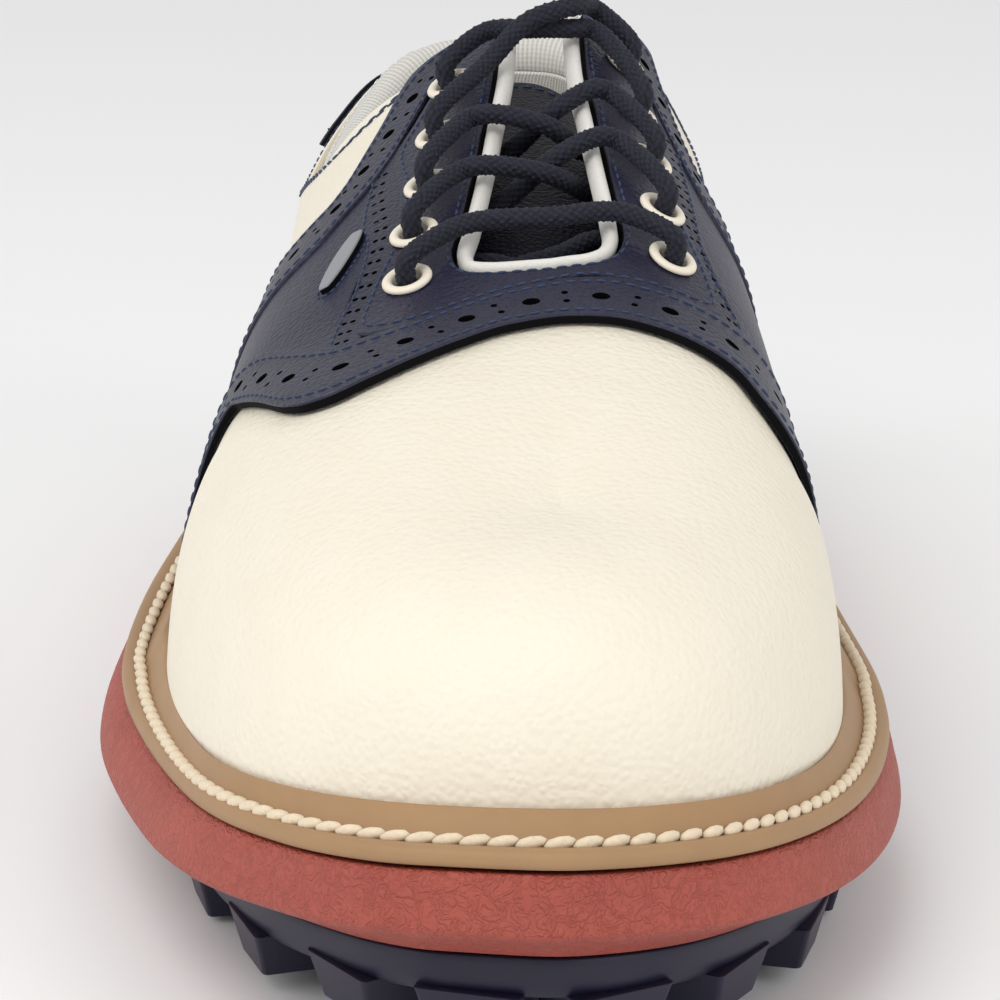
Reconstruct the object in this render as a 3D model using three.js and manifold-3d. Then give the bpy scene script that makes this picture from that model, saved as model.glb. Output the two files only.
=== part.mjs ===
// Right golf shoe, lace-up saddle pattern, as an assembly of closed solids.
// Units mm, +Z up, toe towards -Y, inner (medial) side +X, ground at z = 0.
// A station s runs from the toe tip (s = 0, y = -150) towards the heel.
import * as THREE from "three";
import Module from "manifold-3d";

const wasm = await Module();
wasm.setup();

// Driving dimensions.
const TOE_Y = -150;
const TOE_SPRING = 11;
const SPRING_FROM = 105;
const HEEL_RISE = 8.5;
const RISE_FROM = 110;
const RISE_TO = 230;
const HEEL_ROCKER = 2.5;
const ROCKER_FROM = 255;
const LUG_Z = 0;
const PLATE_Z = 4.8;
const OUTSOLE_TOP_Z = 10.7;
const RIDGE_Z = 16.5;
const MIDSOLE_TOP_Z = 23.7;
const FEATHER_Z = 24.2;
const WELT_Z = [24.2, 27.0, 31.2];
const LEATHER = [-1.4, 0];
const STIFFENER = [-2.9, -2.0];
const LINING = [-4.6, -3.5];
const OVERLAY = [0.5, 1.9];
const LACE_R = 1.5;
const EYELET_R = [2.3, 3.0, 4.5];
const EYELET_HOLE_R = 3.55;
const GAP = 0.5;

// Feather line of the last, (x, s), from the toe along the lateral side round the heel and back.
const FEATHER = [
  [9, 10.5], [-9, 13.5], [-25, 24], [-37.5, 43], [-45, 72], [-48.5, 103],
  [-46, 135], [-41.5, 170], [-39, 205], [-37, 240], [-32.5, 268], [-20, 287.5],
  [0.5, 293.5], [20.5, 287.5], [32.5, 268], [36.5, 240], [38, 205], [40.5, 170],
  [44.5, 135], [48, 103], [48, 76], [43.5, 46], [34, 25], [22, 14],
];
// Outer edge of the welt, same order.
const WELT_EDGE = [
  [10, -0.6], [-7.5, 2.6], [-17.8, 7.7], [-28.5, 19.6], [-40.5, 42], [-51.8, 81],
  [-56.8, 110], [-56, 140], [-50.5, 175], [-46, 205], [-43, 240], [-38, 270],
  [-24, 292], [0.5, 298.5], [25, 292], [38, 270], [42, 240], [44.5, 205],
  [47.5, 172], [52.5, 138], [56.3, 104], [55.5, 76], [50, 48], [41, 25.5], [28, 8.5],
];
// Ridge of the last over the instep: height and sideways shift against its own station.
const SPINE_Z = [
  [52, 68], [80, 75.5], [111, 82], [125, 87.5], [150, 96.5],
  [175, 104.5], [195, 111], [215, 119], [232, 128],
];
const SPINE_X = [[52, 8], [111, 8], [150, 8.5], [195, 8.5], [232, 4]];
const SPINE_ENDS = [52, 228];
// Cross-section shape against the foot station: shoulder height, top flatness, side bulge.
const SHOULDER = [
  [10, 0.92], [60, 0.86], [111, 0.78], [150, 0.72], [200, 0.66], [250, 0.72], [294, 0.75],
];
const FLATNESS = [
  [10, 0.62], [60, 0.64], [111, 0.66], [150, 0.66], [200, 0.62], [250, 0.7], [294, 0.75],
];
const BULGE = [[10, 2], [60, 0.5], [105, -0.5], [130, 1.5], [160, 3], [200, 2.5], [250, 2.5], [294, 4]];
const MEDIAL_TILT = 2.5;

// ---------------------------------------------------------------- curves

const clamp = (x, lo, hi) => Math.min(hi, Math.max(lo, x));
const mix = (a, b, t) => a + (b - a) * t;

function smoothstep(a, b, x) {
  const t = clamp((x - a) / (b - a), 0, 1);
  return t * t * (3 - 2 * t);
}

// Monotone cubic through (x, y) pairs, held constant past both ends.
function graph(points) {
  const x = points.map((p) => p[0]);
  const y = points.map((p) => p[1]);
  const n = x.length;
  const h = [];
  const d = [];
  for (let i = 0; i < n - 1; i++) {
    h.push(x[i + 1] - x[i]);
    d.push((y[i + 1] - y[i]) / h[i]);
  }
  const m = [d[0]];
  for (let i = 1; i < n - 1; i++) {
    const wa = 2 * h[i] + h[i - 1];
    const wb = h[i] + 2 * h[i - 1];
    m.push(d[i - 1] * d[i] <= 0 ? 0 : (wa + wb) / (wa / d[i - 1] + wb / d[i]));
  }
  m.push(d[n - 2]);
  return (v) => {
    const q = clamp(v, x[0], x[n - 1]);
    let i = 0;
    while (i < n - 2 && q > x[i + 1]) i++;
    const t = (q - x[i]) / h[i];
    const a = (1 + 2 * t) * (1 - t) * (1 - t);
    const b = t * (1 - t) * (1 - t);
    const c = t * t * (3 - 2 * t);
    const e = t * t * (t - 1);
    return a * y[i] + b * h[i] * m[i] + c * y[i + 1] + e * h[i] * m[i + 1];
  };
}

// Closed Catmull-Rom loop through (x, s) points, read by arc-length fraction.
function loop(points, samples = 960) {
  const n = points.length;
  const pts = [];
  for (let k = 0; k < samples; k++) {
    const q = (k * n) / samples;
    const i = Math.floor(q);
    const t = q - i;
    const [a, b, c, d] = [-1, 0, 1, 2].map((o) => points[(i + o + n) % n]);
    pts.push([0, 1].map((j) => 0.5 * (2 * b[j] + (c[j] - a[j]) * t
      + (2 * a[j] - 5 * b[j] + 4 * c[j] - d[j]) * t * t
      + (3 * b[j] - a[j] - 3 * c[j] + d[j]) * t * t * t)));
  }
  const arc = [0];
  for (let k = 0; k < samples; k++) {
    const a = pts[k];
    const b = pts[(k + 1) % samples];
    arc.push(arc[k] + Math.hypot(b[0] - a[0], b[1] - a[1]));
  }
  const total = arc[samples];
  const at = (u) => {
    const v = (u - Math.floor(u)) * total;
    let lo = 0;
    let hi = samples;
    while (hi - lo > 1) {
      const mid = (lo + hi) >> 1;
      if (arc[mid] > v) hi = mid;
      else lo = mid;
    }
    const t = (v - arc[lo]) / (arc[lo + 1] - arc[lo]);
    const a = pts[lo];
    const b = pts[(lo + 1) % samples];
    return [mix(a[0], b[0], t), mix(a[1], b[1], t)];
  };
  const best = (f) => pts.reduce((k, p, i) => (f(p) < f(pts[k]) ? i : k), 0);
  const toe = arc[best((p) => p[1])] / total;
  const heel = arc[best((p) => -p[1])] / total;
  return { at, toe, heel, total };
}

const feather = loop(FEATHER);
const weltEdge = loop(WELT_EDGE);
const spineZ = graph(SPINE_Z);
const spineX = graph(SPINE_X);
const shoulder = graph(SHOULDER);
const flatness = graph(FLATNESS);
const bulge = graph(BULGE);

// Toe spring lifts every layer in front, the wedge lifts the top of the midsole behind, and the
// rocker lifts the ground layers at the very back.
const spring = (s) => TOE_SPRING * clamp((SPRING_FROM - s) / SPRING_FROM, 0, 1) ** 2;
const wedge = (s) => HEEL_RISE * smoothstep(RISE_FROM, RISE_TO, s);
const rocker = (s) => HEEL_ROCKER * smoothstep(ROCKER_FROM, 300, s);
const rise = (s) => spring(s) + wedge(s);
const lift = (s, share) => spring(s) + share * wedge(s) + (1 - share) * rocker(s);

// Spine station belonging to a foot station, eased at toe and heel.
function spineStation(s) {
  const ease = 0.16;
  const t = clamp((s - 8) / 288, 0, 1);
  let e = t - ease / 2;
  if (t < ease) e = (t * t) / (2 * ease);
  if (t > 1 - ease) e = 1 - ease - ((1 - t) ** 2) / (2 * ease);
  return mix(SPINE_ENDS[0], SPINE_ENDS[1], e / (1 - ease));
}

// Foot fraction u on the feather line for a station s on one side (-1 lateral, +1 medial).
function footU(s, side) {
  let lo = side < 0 ? feather.toe : feather.toe + 1;
  let hi = feather.heel;
  for (let k = 0; k < 44; k++) {
    const mid = (lo + hi) / 2;
    if (feather.at(mid)[1] < s) lo = mid;
    else hi = mid;
  }
  return (lo + hi) / 2;
}

// Outer face of the upper: u round the feather line, h from the feather (0) to the spine (1).
function last(u, h) {
  const [x, s] = feather.at(u);
  const sp = spineStation(s);
  const dx = spineX(sp) - x;
  const ds = sp - s;
  const L = Math.hypot(dx, ds);
  const zt = spineZ(sp);
  const zb = FEATHER_Z + rise(s);
  const tilt = MEDIAL_TILT * smoothstep(70, 130, s) * clamp(x / 35, -1, 1);
  const g = 1 - h;
  const w1 = 3 * h * g * g;
  const w2 = 3 * h * h * g;
  const w3 = h * h * h;
  const d = (-w1 * bulge(s) + w2 * L * (1 - flatness(s)) + w3 * L) / L;
  const z = g * g * g * zb + w1 * (zb + shoulder(s) * (zt - zb)) + w2 * (zt + tilt) + w3 * zt;
  return new THREE.Vector3(x + dx * d, s + TOE_Y + ds * d, z);
}

function lastNormal(u, h) {
  const e = 0.002;
  const du = last(u + e, h).sub(last(u - e, h));
  const dh = last(u, Math.min(1, h + e)).sub(last(u, Math.max(0, h - e)));
  return dh.cross(du).normalize();
}

// Point of the upper at foot station s and signed height w (-1 lateral feather, 0 spine, +1 medial
// feather), lifted by d along the outward normal.
function skin(s, w, d = 0) {
  const u = footU(s, w < 0 ? -1 : 1);
  const h = 1 - Math.abs(w);
  let n = lastNormal(u, Math.min(h, 0.99));
  if (Math.abs(w) < 0.01) {
    n = lastNormal(footU(s, -1), 0.985).add(lastNormal(footU(s, 1), 0.985)).normalize();
  }
  return last(u, h).addScaledVector(n, d);
}

// Point of the upper at foot fraction u and height fraction h, lifted by d.
const wall = (u, h, d) => last(u, h).addScaledVector(lastNormal(u, h), d);

const skinNormal = (s, w) => skin(s, w, 1).sub(skin(s, w, 0)).normalize();

// ---------------------------------------------------------------- solids

// The lowest point of the shoe's box, at its middle, is the origin.
const CENTRE = [1.06, 0.45];
const group = new THREE.Group();
group.position.set(CENTRE[0], CENTRE[1], 0);

function signedVolume(p, tri) {
  let v = 0;
  for (const [a, b, c] of tri) v += p[a].dot(p[b].clone().cross(p[c]));
  return v;
}

// Closed solid from points and triangles: coincident points merge, faces are turned outwards.
function solid(points, triangles) {
  const key = new Map();
  const p = [];
  const index = points.map((q) => {
    const k = [q.x, q.y, q.z].map((c) => Math.round(c * 500)).join();
    if (!key.has(k)) {
      key.set(k, p.length);
      p.push(q);
    }
    return key.get(k);
  });
  let tri = triangles.map((t) => t.map((i) => index[i]));
  tri = tri.filter(([a, b, c]) => a !== b && b !== c && a !== c);
  if (signedVolume(p, tri) < 0) tri = tri.map(([a, b, c]) => [a, c, b]);
  return new wasm.Manifold(new wasm.Mesh({
    numProp: 3,
    vertProperties: new Float32Array(p.flatMap((q) => [q.x, q.y, q.z])),
    triVerts: new Uint32Array(tri.flat()),
  }));
}

// Finishes: colour, roughness, metalness.
const CREAM_LEATHER = [0xefe8da, 0.42, 0];
const NAVY_LEATHER = [0x34333f, 0.38, 0];
const LINING_KNIT = [0xcecbc2, 0.9, 0];
const FOAM = [0xb9b4a8, 0.95, 0];
const FIBREBOARD = [0xb59a72, 0.85, 0];
const SPRING_STEEL = [0x8d9196, 0.35, 1];
const THROAT_CORD = [0xe9e8e4, 0.85, 0];
const EYELET_NYLON = [0xf3ecdd, 0.5, 0];
const LACE_YARN = [0x17161c, 0.85, 0];
const ACETATE = [0x201f28, 0.25, 0];
const TAN_WELT = [0xa38262, 0.55, 0];
const CREAM_THREAD = [0xe8dcc2, 0.7, 0];
const RED_FOAM = [0xab5a4d, 0.7, 0];
const NAVY_RUBBER = [0x33313f, 0.6, 0];
const GREY_PLATE = [0xa7a8ab, 0.35, 0.6];

function add(name, [color, roughness, metalness], body) {
  const m = body.getMesh();
  const g = new THREE.BufferGeometry();
  const v = new Float32Array(m.numVert * 3);
  for (let i = 0; i < m.numVert; i++) {
    v.set(m.vertProperties.subarray(i * m.numProp, i * m.numProp + 3), i * 3);
  }
  g.setAttribute("position", new THREE.BufferAttribute(v, 3));
  g.setIndex(new THREE.BufferAttribute(new Uint32Array(m.triVerts), 1));
  const mesh = new THREE.Mesh(g, new THREE.MeshStandardMaterial({ color, roughness, metalness }));
  mesh.name = name;
  group.add(mesh);
}

const quad = (a, b, c, d) => [[a, b, c], [a, c, d]];

// Shell over a grid of chart points. chart(a, b) gives [s, w] for a, b in 0..1 (or [u, h] with
// onLoop), under and over the offsets of its two faces. A folded shell closes on itself at b = 1.
// place(p, q, d) puts a chart point on another surface.
function shell(chart, na, nb, [under, over], { fold = false, onLoop = false, place = skin } = {}) {
  const put = onLoop ? wall : place;
  const pts = [];
  const tri = [];
  const id = (layer, i, j) => (layer * (na + 1) + i) * (nb + 1) + j;
  for (const offset of [under, over]) {
    for (let i = 0; i <= na; i++) {
      for (let j = 0; j <= nb; j++) {
        const a = i / na;
        const b = j / nb;
        const [p, q] = chart(a, b);
        const d = typeof offset === "number" ? offset : offset(a, b);
        pts.push(put(p, q, d));
      }
    }
  }
  for (let i = 0; i < na; i++) {
    for (let j = 0; j < nb; j++) {
      tri.push(...quad(id(0, i, j), id(0, i, j + 1), id(0, i + 1, j + 1), id(0, i + 1, j)));
      tri.push(...quad(id(1, i, j), id(1, i + 1, j), id(1, i + 1, j + 1), id(1, i, j + 1)));
    }
  }
  for (let i = 0; i < na; i++) {
    tri.push(...quad(id(0, i, 0), id(0, i + 1, 0), id(1, i + 1, 0), id(1, i, 0)));
    if (!fold) tri.push(...quad(id(0, i + 1, nb), id(0, i, nb), id(1, i, nb), id(1, i + 1, nb)));
  }
  for (let j = 0; j < nb; j++) {
    tri.push(...quad(id(0, 0, j + 1), id(0, 0, j), id(1, 0, j), id(1, 0, j + 1)));
    tri.push(...quad(id(0, na, j), id(0, na, j + 1), id(1, na, j + 1), id(1, na, j)));
  }
  return solid(pts, tri);
}

// Curve through chart points, read evenly along its length; unit is the length in mm of one step
// of the first coordinate.
function path(points, unit = 1) {
  const c = new THREE.CatmullRomCurve3(
    points.map(([p, q]) => new THREE.Vector3(p * unit, q * 90, 0)), false, "centripetal");
  return (t) => {
    const p = c.getPointAt(clamp(t, 0, 1));
    return [p.x / unit, p.y / 90];
  };
}

// Chart spanned between two edge curves.
const between = (f, g) => (a, b) => {
  const p = f(a);
  const q = g(a);
  return [mix(p[0], q[0], b), mix(p[1], q[1], b)];
};

// Loft of closed rings, first and last closed by a ladder across the loop's own long axis.
function loft(rings) {
  const n = rings[0].length;
  const pts = rings.flat();
  const tri = [];
  for (let r = 0; r + 1 < rings.length; r++) {
    for (let i = 0; i < n; i++) {
      const j = (i + 1) % n;
      tri.push(...quad(r * n + i, r * n + j, (r + 1) * n + j, (r + 1) * n + i));
    }
  }
  const cap = (base, flip) => {
    for (let i = 0; i < n / 2; i++) {
      const a = base + i;
      const b = base + i + 1;
      const c = base + ((n - i - 1) % n);
      const d = base + ((n - i) % n);
      const q = quad(a, b, c, d);
      tri.push(...(flip ? q : q.map(([e, f, g]) => [e, g, f])));
    }
  };
  cap(0, false);
  cap((rings.length - 1) * n, true);
  return solid(pts, tri);
}

// Closed sweep of a polygonal section round a loop.
function torus(sections) {
  const n = sections.length;
  const m = sections[0].length;
  const tri = [];
  for (let i = 0; i < n; i++) {
    for (let k = 0; k < m; k++) {
      const j = (i + 1) % n;
      const l = (k + 1) % m;
      tri.push(...quad(i * m + k, j * m + k, j * m + l, i * m + l));
    }
  }
  return solid(sections.flat(), tri);
}

// Open sweep of a polygonal section, flat at both ends.
function tube(sections) {
  const n = sections.length;
  const m = sections[0].length;
  const tri = [];
  for (let i = 0; i + 1 < n; i++) {
    for (let k = 0; k < m; k++) {
      const l = (k + 1) % m;
      tri.push(...quad(i * m + k, (i + 1) * m + k, (i + 1) * m + l, i * m + l));
    }
  }
  for (let k = 1; k + 1 < m; k++) {
    tri.push([0, k, k + 1]);
    tri.push([(n - 1) * m, (n - 1) * m + k + 1, (n - 1) * m + k]);
  }
  return solid(sections.flat(), tri);
}

// Place on a loop by half turns: k 0..1 from the toe to the heel on the lateral side, 1..2 back on
// the medial side. Gives the point, and the outward direction in plan.
function onHalf(lp, k) {
  const u = k <= 1 ? mix(lp.toe, lp.heel, k) : mix(lp.heel, lp.toe + 1, k - 1);
  const [x, s] = lp.at(u);
  const a = lp.at(u - 0.004);
  const b = lp.at(u + 0.004);
  const l = Math.hypot(b[0] - a[0], b[1] - a[1]);
  return { u, x, s, out: [-(b[1] - a[1]) / l, (b[0] - a[0]) / l] };
}

// Closed ring of n points, grow mm outside the loop, at height z plus its share of the heel wedge.
// Both grow and z may vary with the station.
function ring(lp, n, grow, z, share) {
  const height = typeof z === "number" ? () => z : z;
  const pts = [];
  for (let i = 0; i < n; i++) {
    const p = onHalf(lp, (2 * i) / n);
    const g = typeof grow === "number" ? grow : grow(p.s, p.x < 0 ? -1 : 1);
    const s = p.s + p.out[1] * g;
    pts.push(new THREE.Vector3(p.x + p.out[0] * g, s + TOE_Y, height(s) + lift(s, share)));
  }
  return pts;
}

// ---------------------------------------------------------------- sole unit

const SOLE_N = 52;
// How far the midsole's ridge stands outside the welt.
const ridge = (s, side) => mix(
  mix(0.8, side < 0 ? 3.4 : 1.8, smoothstep(5, 60, s)), 2.2, smoothstep(200, 260, s));
const tread = (s) => mix(-9.5, -6.5, smoothstep(10, 70, s));
const midsoleRings = [
  [11.2, (s) => tread(s) + 1.2, 0],
  [12.8, (s) => tread(s) + 4.2, 0.1],
  [14.6, (s, side) => ridge(s, side) - 1.2, 0.25],
  [RIDGE_Z, ridge, 0.4],
  [19.0, (s, side) => ridge(s, side) - 0.6, 0.6],
  [21.5, (s, side) => 0.6 * ridge(s, side) - 0.4, 0.8],
  [MIDSOLE_TOP_Z, -0.6, 1],
].map(([z, grow, share]) => ring(weltEdge, SOLE_N, grow, z, share));

// Rounded bar along the sole from station s0 to s1, half width r, between two heights.
function bar(s0, s1, x, r, zLow, zHigh) {
  const side = (z) => {
    const pts = [];
    for (let i = 0; i < 20; i++) {
      const k = i < 10 ? i / 9 : (19 - i) / 9;
      const s = mix(s0, s1, k);
      const end = Math.min(1, Math.sqrt(Math.min(k, 1 - k) * 8 + 0.15));
      pts.push(new THREE.Vector3(x + (i < 10 ? -r : r) * end, s + TOE_Y, z + rise(s)));
    }
    return pts;
  };
  return loft([side(zLow), side(zHigh)]);
}

const shankPocket = bar(132, 252, 0, 9, 21.6, 25);
add("midsole", RED_FOAM, loft(midsoleRings).subtract(shankPocket));
add("shank", SPRING_STEEL, bar(134, 250, 0, 8, 22.1, 23.5));

// Tread block: a frustum under the plate, its foot on the ground layer.
function lug(x, s, rx, rs, turn) {
  const rings = [[LUG_Z, 1], [6.4, 1.32]].map(([z, k]) => (
    [[-1, -1], [1, -1], [1, 1], [-1, 1]].map(([i, j]) => {
      const a = i * rx * k;
      const b = j * rs * k;
      const ls = s + a * Math.sin(turn) + b * Math.cos(turn);
      const lx = x + a * Math.cos(turn) - b * Math.sin(turn);
      return new THREE.Vector3(lx, ls + TOE_Y, z + lift(ls, 0));
    })
  ));
  return loft(rings);
}

const EDGE_LUGS = 24;
const lugs = [];
for (let i = 0; i < EDGE_LUGS; i++) {
  const p = onHalf(weltEdge, (2 * i + 1) / EDGE_LUGS);
  const g = tread(p.s) - 6.2;
  lugs.push(lug(p.x + p.out[0] * g, p.s + p.out[1] * g, 5.2, 5.6, Math.atan2(p.out[1], p.out[0])));
}
const INNER_LUGS = [
  [6, 50], [-9, 66], [20, 66], [-22, 88], [6, 84], [32, 86], [-8, 106], [18, 106], [-22, 126],
  [4, 128], [28, 128], [-10, 224], [11, 224], [-10, 252], [11, 252],
];
for (const [x, s] of INNER_LUGS) lugs.push(lug(x, s, 4.6, 4.6, Math.PI / 4));
const plate = loft([
  ring(weltEdge, SOLE_N, (s) => tread(s) - 1.4, PLATE_Z, 0),
  ring(weltEdge, SOLE_N, tread, 6.6, 0),
  ring(weltEdge, SOLE_N, tread, OUTSOLE_TOP_Z, 0),
]);
add("outsole", NAVY_RUBBER, lugs.reduce((a, b) => a.add(b), plate));

// Point of the upper at foot fraction u and world height z.
function wallAt(u, z) {
  let lo = 0;
  let hi = 0.4;
  for (let k = 0; k < 30; k++) {
    const mid = (lo + hi) / 2;
    if (last(u, mid).z < z) lo = mid;
    else hi = mid;
  }
  return last(u, lo);
}

// Welt with a lip, a stitch groove and a bead that leans on the upper.
const WELT_N = 56;
const WELT_SECTION = [
  [0, 24.2], [0.9, 24.2], [1, 25.3], [0.92, 26.7], [0.74, 27], [0.62, 26.1],
  [0.5, 27.3], [0.26, 29.6], [0.1, 30.9],
];
// Room the welt leaves round the upper, wider where the saddle is layered over it.
const weltRoom = (s) => 0.6 + 1.9 * (smoothstep(84, 99, s) - smoothstep(188, 204, s));
const weltSections = [];
const threadSections = [];
for (let i = 0; i < WELT_N; i++) {
  const k = (2 * i) / WELT_N;
  const f = onHalf(feather, k);
  const o = onHalf(weltEdge, k);
  const up = rise(f.s);
  const low = wallAt(f.u, WELT_Z[0] + up);
  const high = wallAt(f.u, WELT_Z[2] + up);
  const root = [f.out[0] * weltRoom(f.s), f.out[1] * weltRoom(f.s)];
  const ax = low.x + root[0];
  const ay = low.y + root[1];
  const at = (r, z) => {
    const x = mix(ax, o.x, r);
    const y = mix(ay, o.s + TOE_Y, r);
    return new THREE.Vector3(x, y, z + rise(y - TOE_Y));
  };
  const section = WELT_SECTION.map(([r, z]) => at(r, z));
  section.push(new THREE.Vector3(high.x + root[0], high.y + root[1], high.z - 0.5));
  weltSections.push(section);
  const c = at(0.62, 28);
  const e = new THREE.Vector3(o.x - ax, o.s + TOE_Y - ay, 0).normalize();
  threadSections.push([0, 1, 2, 3].map((j) => {
    const t = (j * Math.PI) / 2;
    return c.clone().addScaledVector(e, 0.65 * Math.cos(t)).setZ(c.z + 0.65 * Math.sin(t));
  }));
}
add("welt", TAN_WELT, torus(weltSections));
add("welt_thread", CREAM_THREAD, torus(threadSections));

add("insole_board", FIBREBOARD, loft([
  ring(feather, 40, -5.6, 24.3, 1),
  ring(feather, 40, -5.6, 26.1, 1),
]));
// The footbed is flat under the toes and the ball, and cupped from the arch to the heel.
const footbedRim = (s) => mix(31.0, 33.2, smoothstep(135, 190, s));
add("footbed", LINING_KNIT, loft([
  ring(feather, 40, -6.4, 26.6, 1),
  ring(feather, 40, -6.0, 30.2, 1),
  ring(feather, 40, -7.2, footbedRim, 1),
  ring(feather, 40, -9.0, (s) => footbedRim(s) - 0.2, 1),
  ring(feather, 40, -15.0, 30.4, 1),
]));

// ---------------------------------------------------------------- pattern lines of the upper

// Edges of the front band over the toe: station against signed height.
const bandFront = graph([
  [-1, 112], [-0.8, 114], [-0.65, 116.5], [-0.6, 115.5], [-0.56, 110], [-0.5, 99.5], [-0.44, 87.5],
  [-0.4, 83.5], [-0.35, 82], [-0.28, 84], [-0.2, 88.5], [-0.13, 93.5], [-0.06, 98.5], [0.02, 101],
  [0.1, 101.2], [0.2, 100], [0.3, 98.7], [0.4, 97.3], [0.47, 93.5], [0.55, 92], [0.65, 95],
  [0.8, 101], [1, 104],
]);
const bandBack = graph([
  [-1, 127], [-0.8, 128], [-0.62, 127.3], [-0.55, 124.5], [-0.48, 119], [-0.42, 112], [-0.36, 105.5],
  [-0.32, 103.2], [-0.27, 103.5], [-0.2, 105.5], [-0.13, 109.5], [-0.05, 114], [0.03, 116.4],
  [0.1, 116.6], [0.2, 115.4], [0.3, 115], [0.4, 116], [0.5, 118.3], [0.65, 118.8], [0.8, 118.5],
  [1, 118],
]);
// Rear edge of the vamp, hidden under the front band; the quarters start a little behind it.
const vampBack = graph([
  [-1, 119], [-0.7, 119.5], [-0.5, 110], [-0.36, 93.5], [-0.2, 97], [0, 108], [0.3, 107],
  [0.5, 106], [1, 111],
]);
const QUARTER_GAP = 2.5;
// Rear band: inner and outer edge, lateral then medial.
const rearInner = {
  lateral: graph([[-1, 152], [-0.8, 150], [-0.6, 147], [-0.5, 147.5], [-0.42, 150], [-0.37, 156],
    [-0.33, 162], [-0.29, 172], [-0.25, 188], [-0.21, 201], [-0.18, 209]]),
  medial: graph([[0.2, 214], [0.24, 205], [0.28, 193], [0.33, 178], [0.37, 168], [0.42, 160],
    [0.5, 156], [0.6, 155], [0.8, 156], [1, 158]]),
};
const rearOuter = {
  lateral: graph([[-1, 180], [-0.85, 178], [-0.7, 174], [-0.6, 169], [-0.5, 165], [-0.43, 166.5],
    [-0.39, 172], [-0.36, 181.5], [-0.33, 191], [-0.3, 201], [-0.27, 207], [-0.18, 214]]),
  medial: graph([[0.2, 219], [0.3, 214], [0.33, 204], [0.36, 194], [0.39, 184], [0.43, 176],
    [0.5, 172], [0.6, 174], [0.7, 178], [0.85, 181], [1, 183]]),
};
// Wedge band along the facing: lower and upper edge, signed height against station.
const wedgeLow = {
  lateral: graph([[103, -0.358], [122, -0.336], [131, -0.314], [145, -0.304], [160, -0.324]]),
  medial: graph([[115, 0.455], [124, 0.438], [130, 0.402], [145, 0.358], [160, 0.356], [175, 0.352]]),
};
const wedgeHigh = {
  lateral: graph([[103, -0.306], [119, -0.292], [130, -0.268], [140, -0.254], [157, -0.258],
    [172, -0.29]]),
  medial: graph([[115, 0.39], [125, 0.372], [134, 0.344], [141, 0.318], [155, 0.3], [175, 0.31],
    [184, 0.308]]),
};
// Top edge of the padded collar, [u, h], from the lateral facing corner round the heel.
const COLLAR_TOP = [
  [0.3455, 0.732], [0.34, 0.64], [0.34, 0.56], [0.348, 0.49], [0.3625, 0.425], [0.384, 0.345],
  [0.41, 0.3], [0.43, 0.295], [0.45, 0.32], [0.47, 0.36], [0.49, 0.378], [0.508, 0.38],
  [0.526, 0.378], [0.546, 0.36], [0.566, 0.32], [0.587, 0.295], [0.607, 0.3], [0.63, 0.345],
  [0.648, 0.41], [0.66, 0.48], [0.667, 0.55], [0.667, 0.62], [0.661, 0.7],
];
const LOOP_MM = 650;

// ---------------------------------------------------------------- upper, from the skin inwards

// Stations along the lateral half of the feather line, from a starting station to the toe.
function toToe(s0, b) {
  const u0 = footU(s0, -1);
  return feather.at(mix(u0, feather.toe, b))[1];
}
const vampChart = (sideways) => (a, b) => {
  const w = mix(-sideways, sideways, a);
  const s = toToe(vampBack(w), b);
  return [s, w];
};
add("vamp", CREAM_LEATHER, shell(vampChart(0.995), 20, 12, LEATHER, { fold: true }));
add("toe_puff", FIBREBOARD, shell((a, b) => {
  const w = mix(-0.97, 0.97, a);
  return [toToe(62 - 14 * w * w, b), w];
}, 14, 6, STIFFENER, { fold: true }));
add("vamp_lining", LINING_KNIT, shell((a, b) => {
  const w = mix(-0.97, 0.97, a);
  return [toToe(vampBack(w) - 2 - 9 * (1 - Math.abs(w)), b), w];
}, 16, 9, LINING, { fold: true }));

const toUH = ([s, w]) => [footU(s, w < 0 ? -1 : 1), 1 - Math.abs(w)];
const COLLAR_DROP = 0.045;
const leatherTop = COLLAR_TOP.map(([u, h], i) => {
  const end = Math.min(i, COLLAR_TOP.length - 1 - i);
  return [u, h - COLLAR_DROP * Math.min(1, end / 4)];
});

function quarter(side) {
  const lateral = side === "lateral";
  const sg = lateral ? -1 : 1;
  const w0 = lateral ? -0.315 : 0.4;
  const start = vampBack(w0) + QUARTER_GAP;
  const facing = lateral
    ? [[start, w0], [119, -0.306], [130, -0.282], [141, -0.268], [157, -0.272], [171, -0.304],
      [188, -0.264], [200, -0.228], [208, -0.198]]
    : [[start, w0], [125, 0.386], [134, 0.358], [142, 0.332], [155, 0.314], [175, 0.322],
      [193, 0.296], [204, 0.256], [212, 0.222]];
  const top = facing.map(toUH);
  const mid = Math.round(COLLAR_TOP.length / 2) - 1;
  const rim = lateral ? leatherTop.slice(0, mid) : leatherTop.slice(mid + 1).reverse();
  const back = lateral ? feather.heel - 0.0006 : feather.heel + 0.0006;
  const topPath = path([...top, ...rim, [back, 0.333]], LOOP_MM);
  const u0 = footU(vampBack(sg) + QUARTER_GAP, sg);
  return shell((a, b) => {
    const t = topPath(a);
    const h = mix(0.005, t[1], b);
    const straight = mix(mix(u0, back, a), t[0], b);
    const front = footU(vampBack(sg * (1 - h)) + QUARTER_GAP, sg);
    const bend = (front - mix(u0, topPath(0)[0], b)) * Math.max(0, 1 - 5 * a);
    return [straight + bend, h];
  }, 26, 6, LEATHER, { onLoop: true });
}
add("quarter_lateral", CREAM_LEATHER, quarter("lateral"));
add("quarter_medial", CREAM_LEATHER, quarter("medial"));

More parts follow.
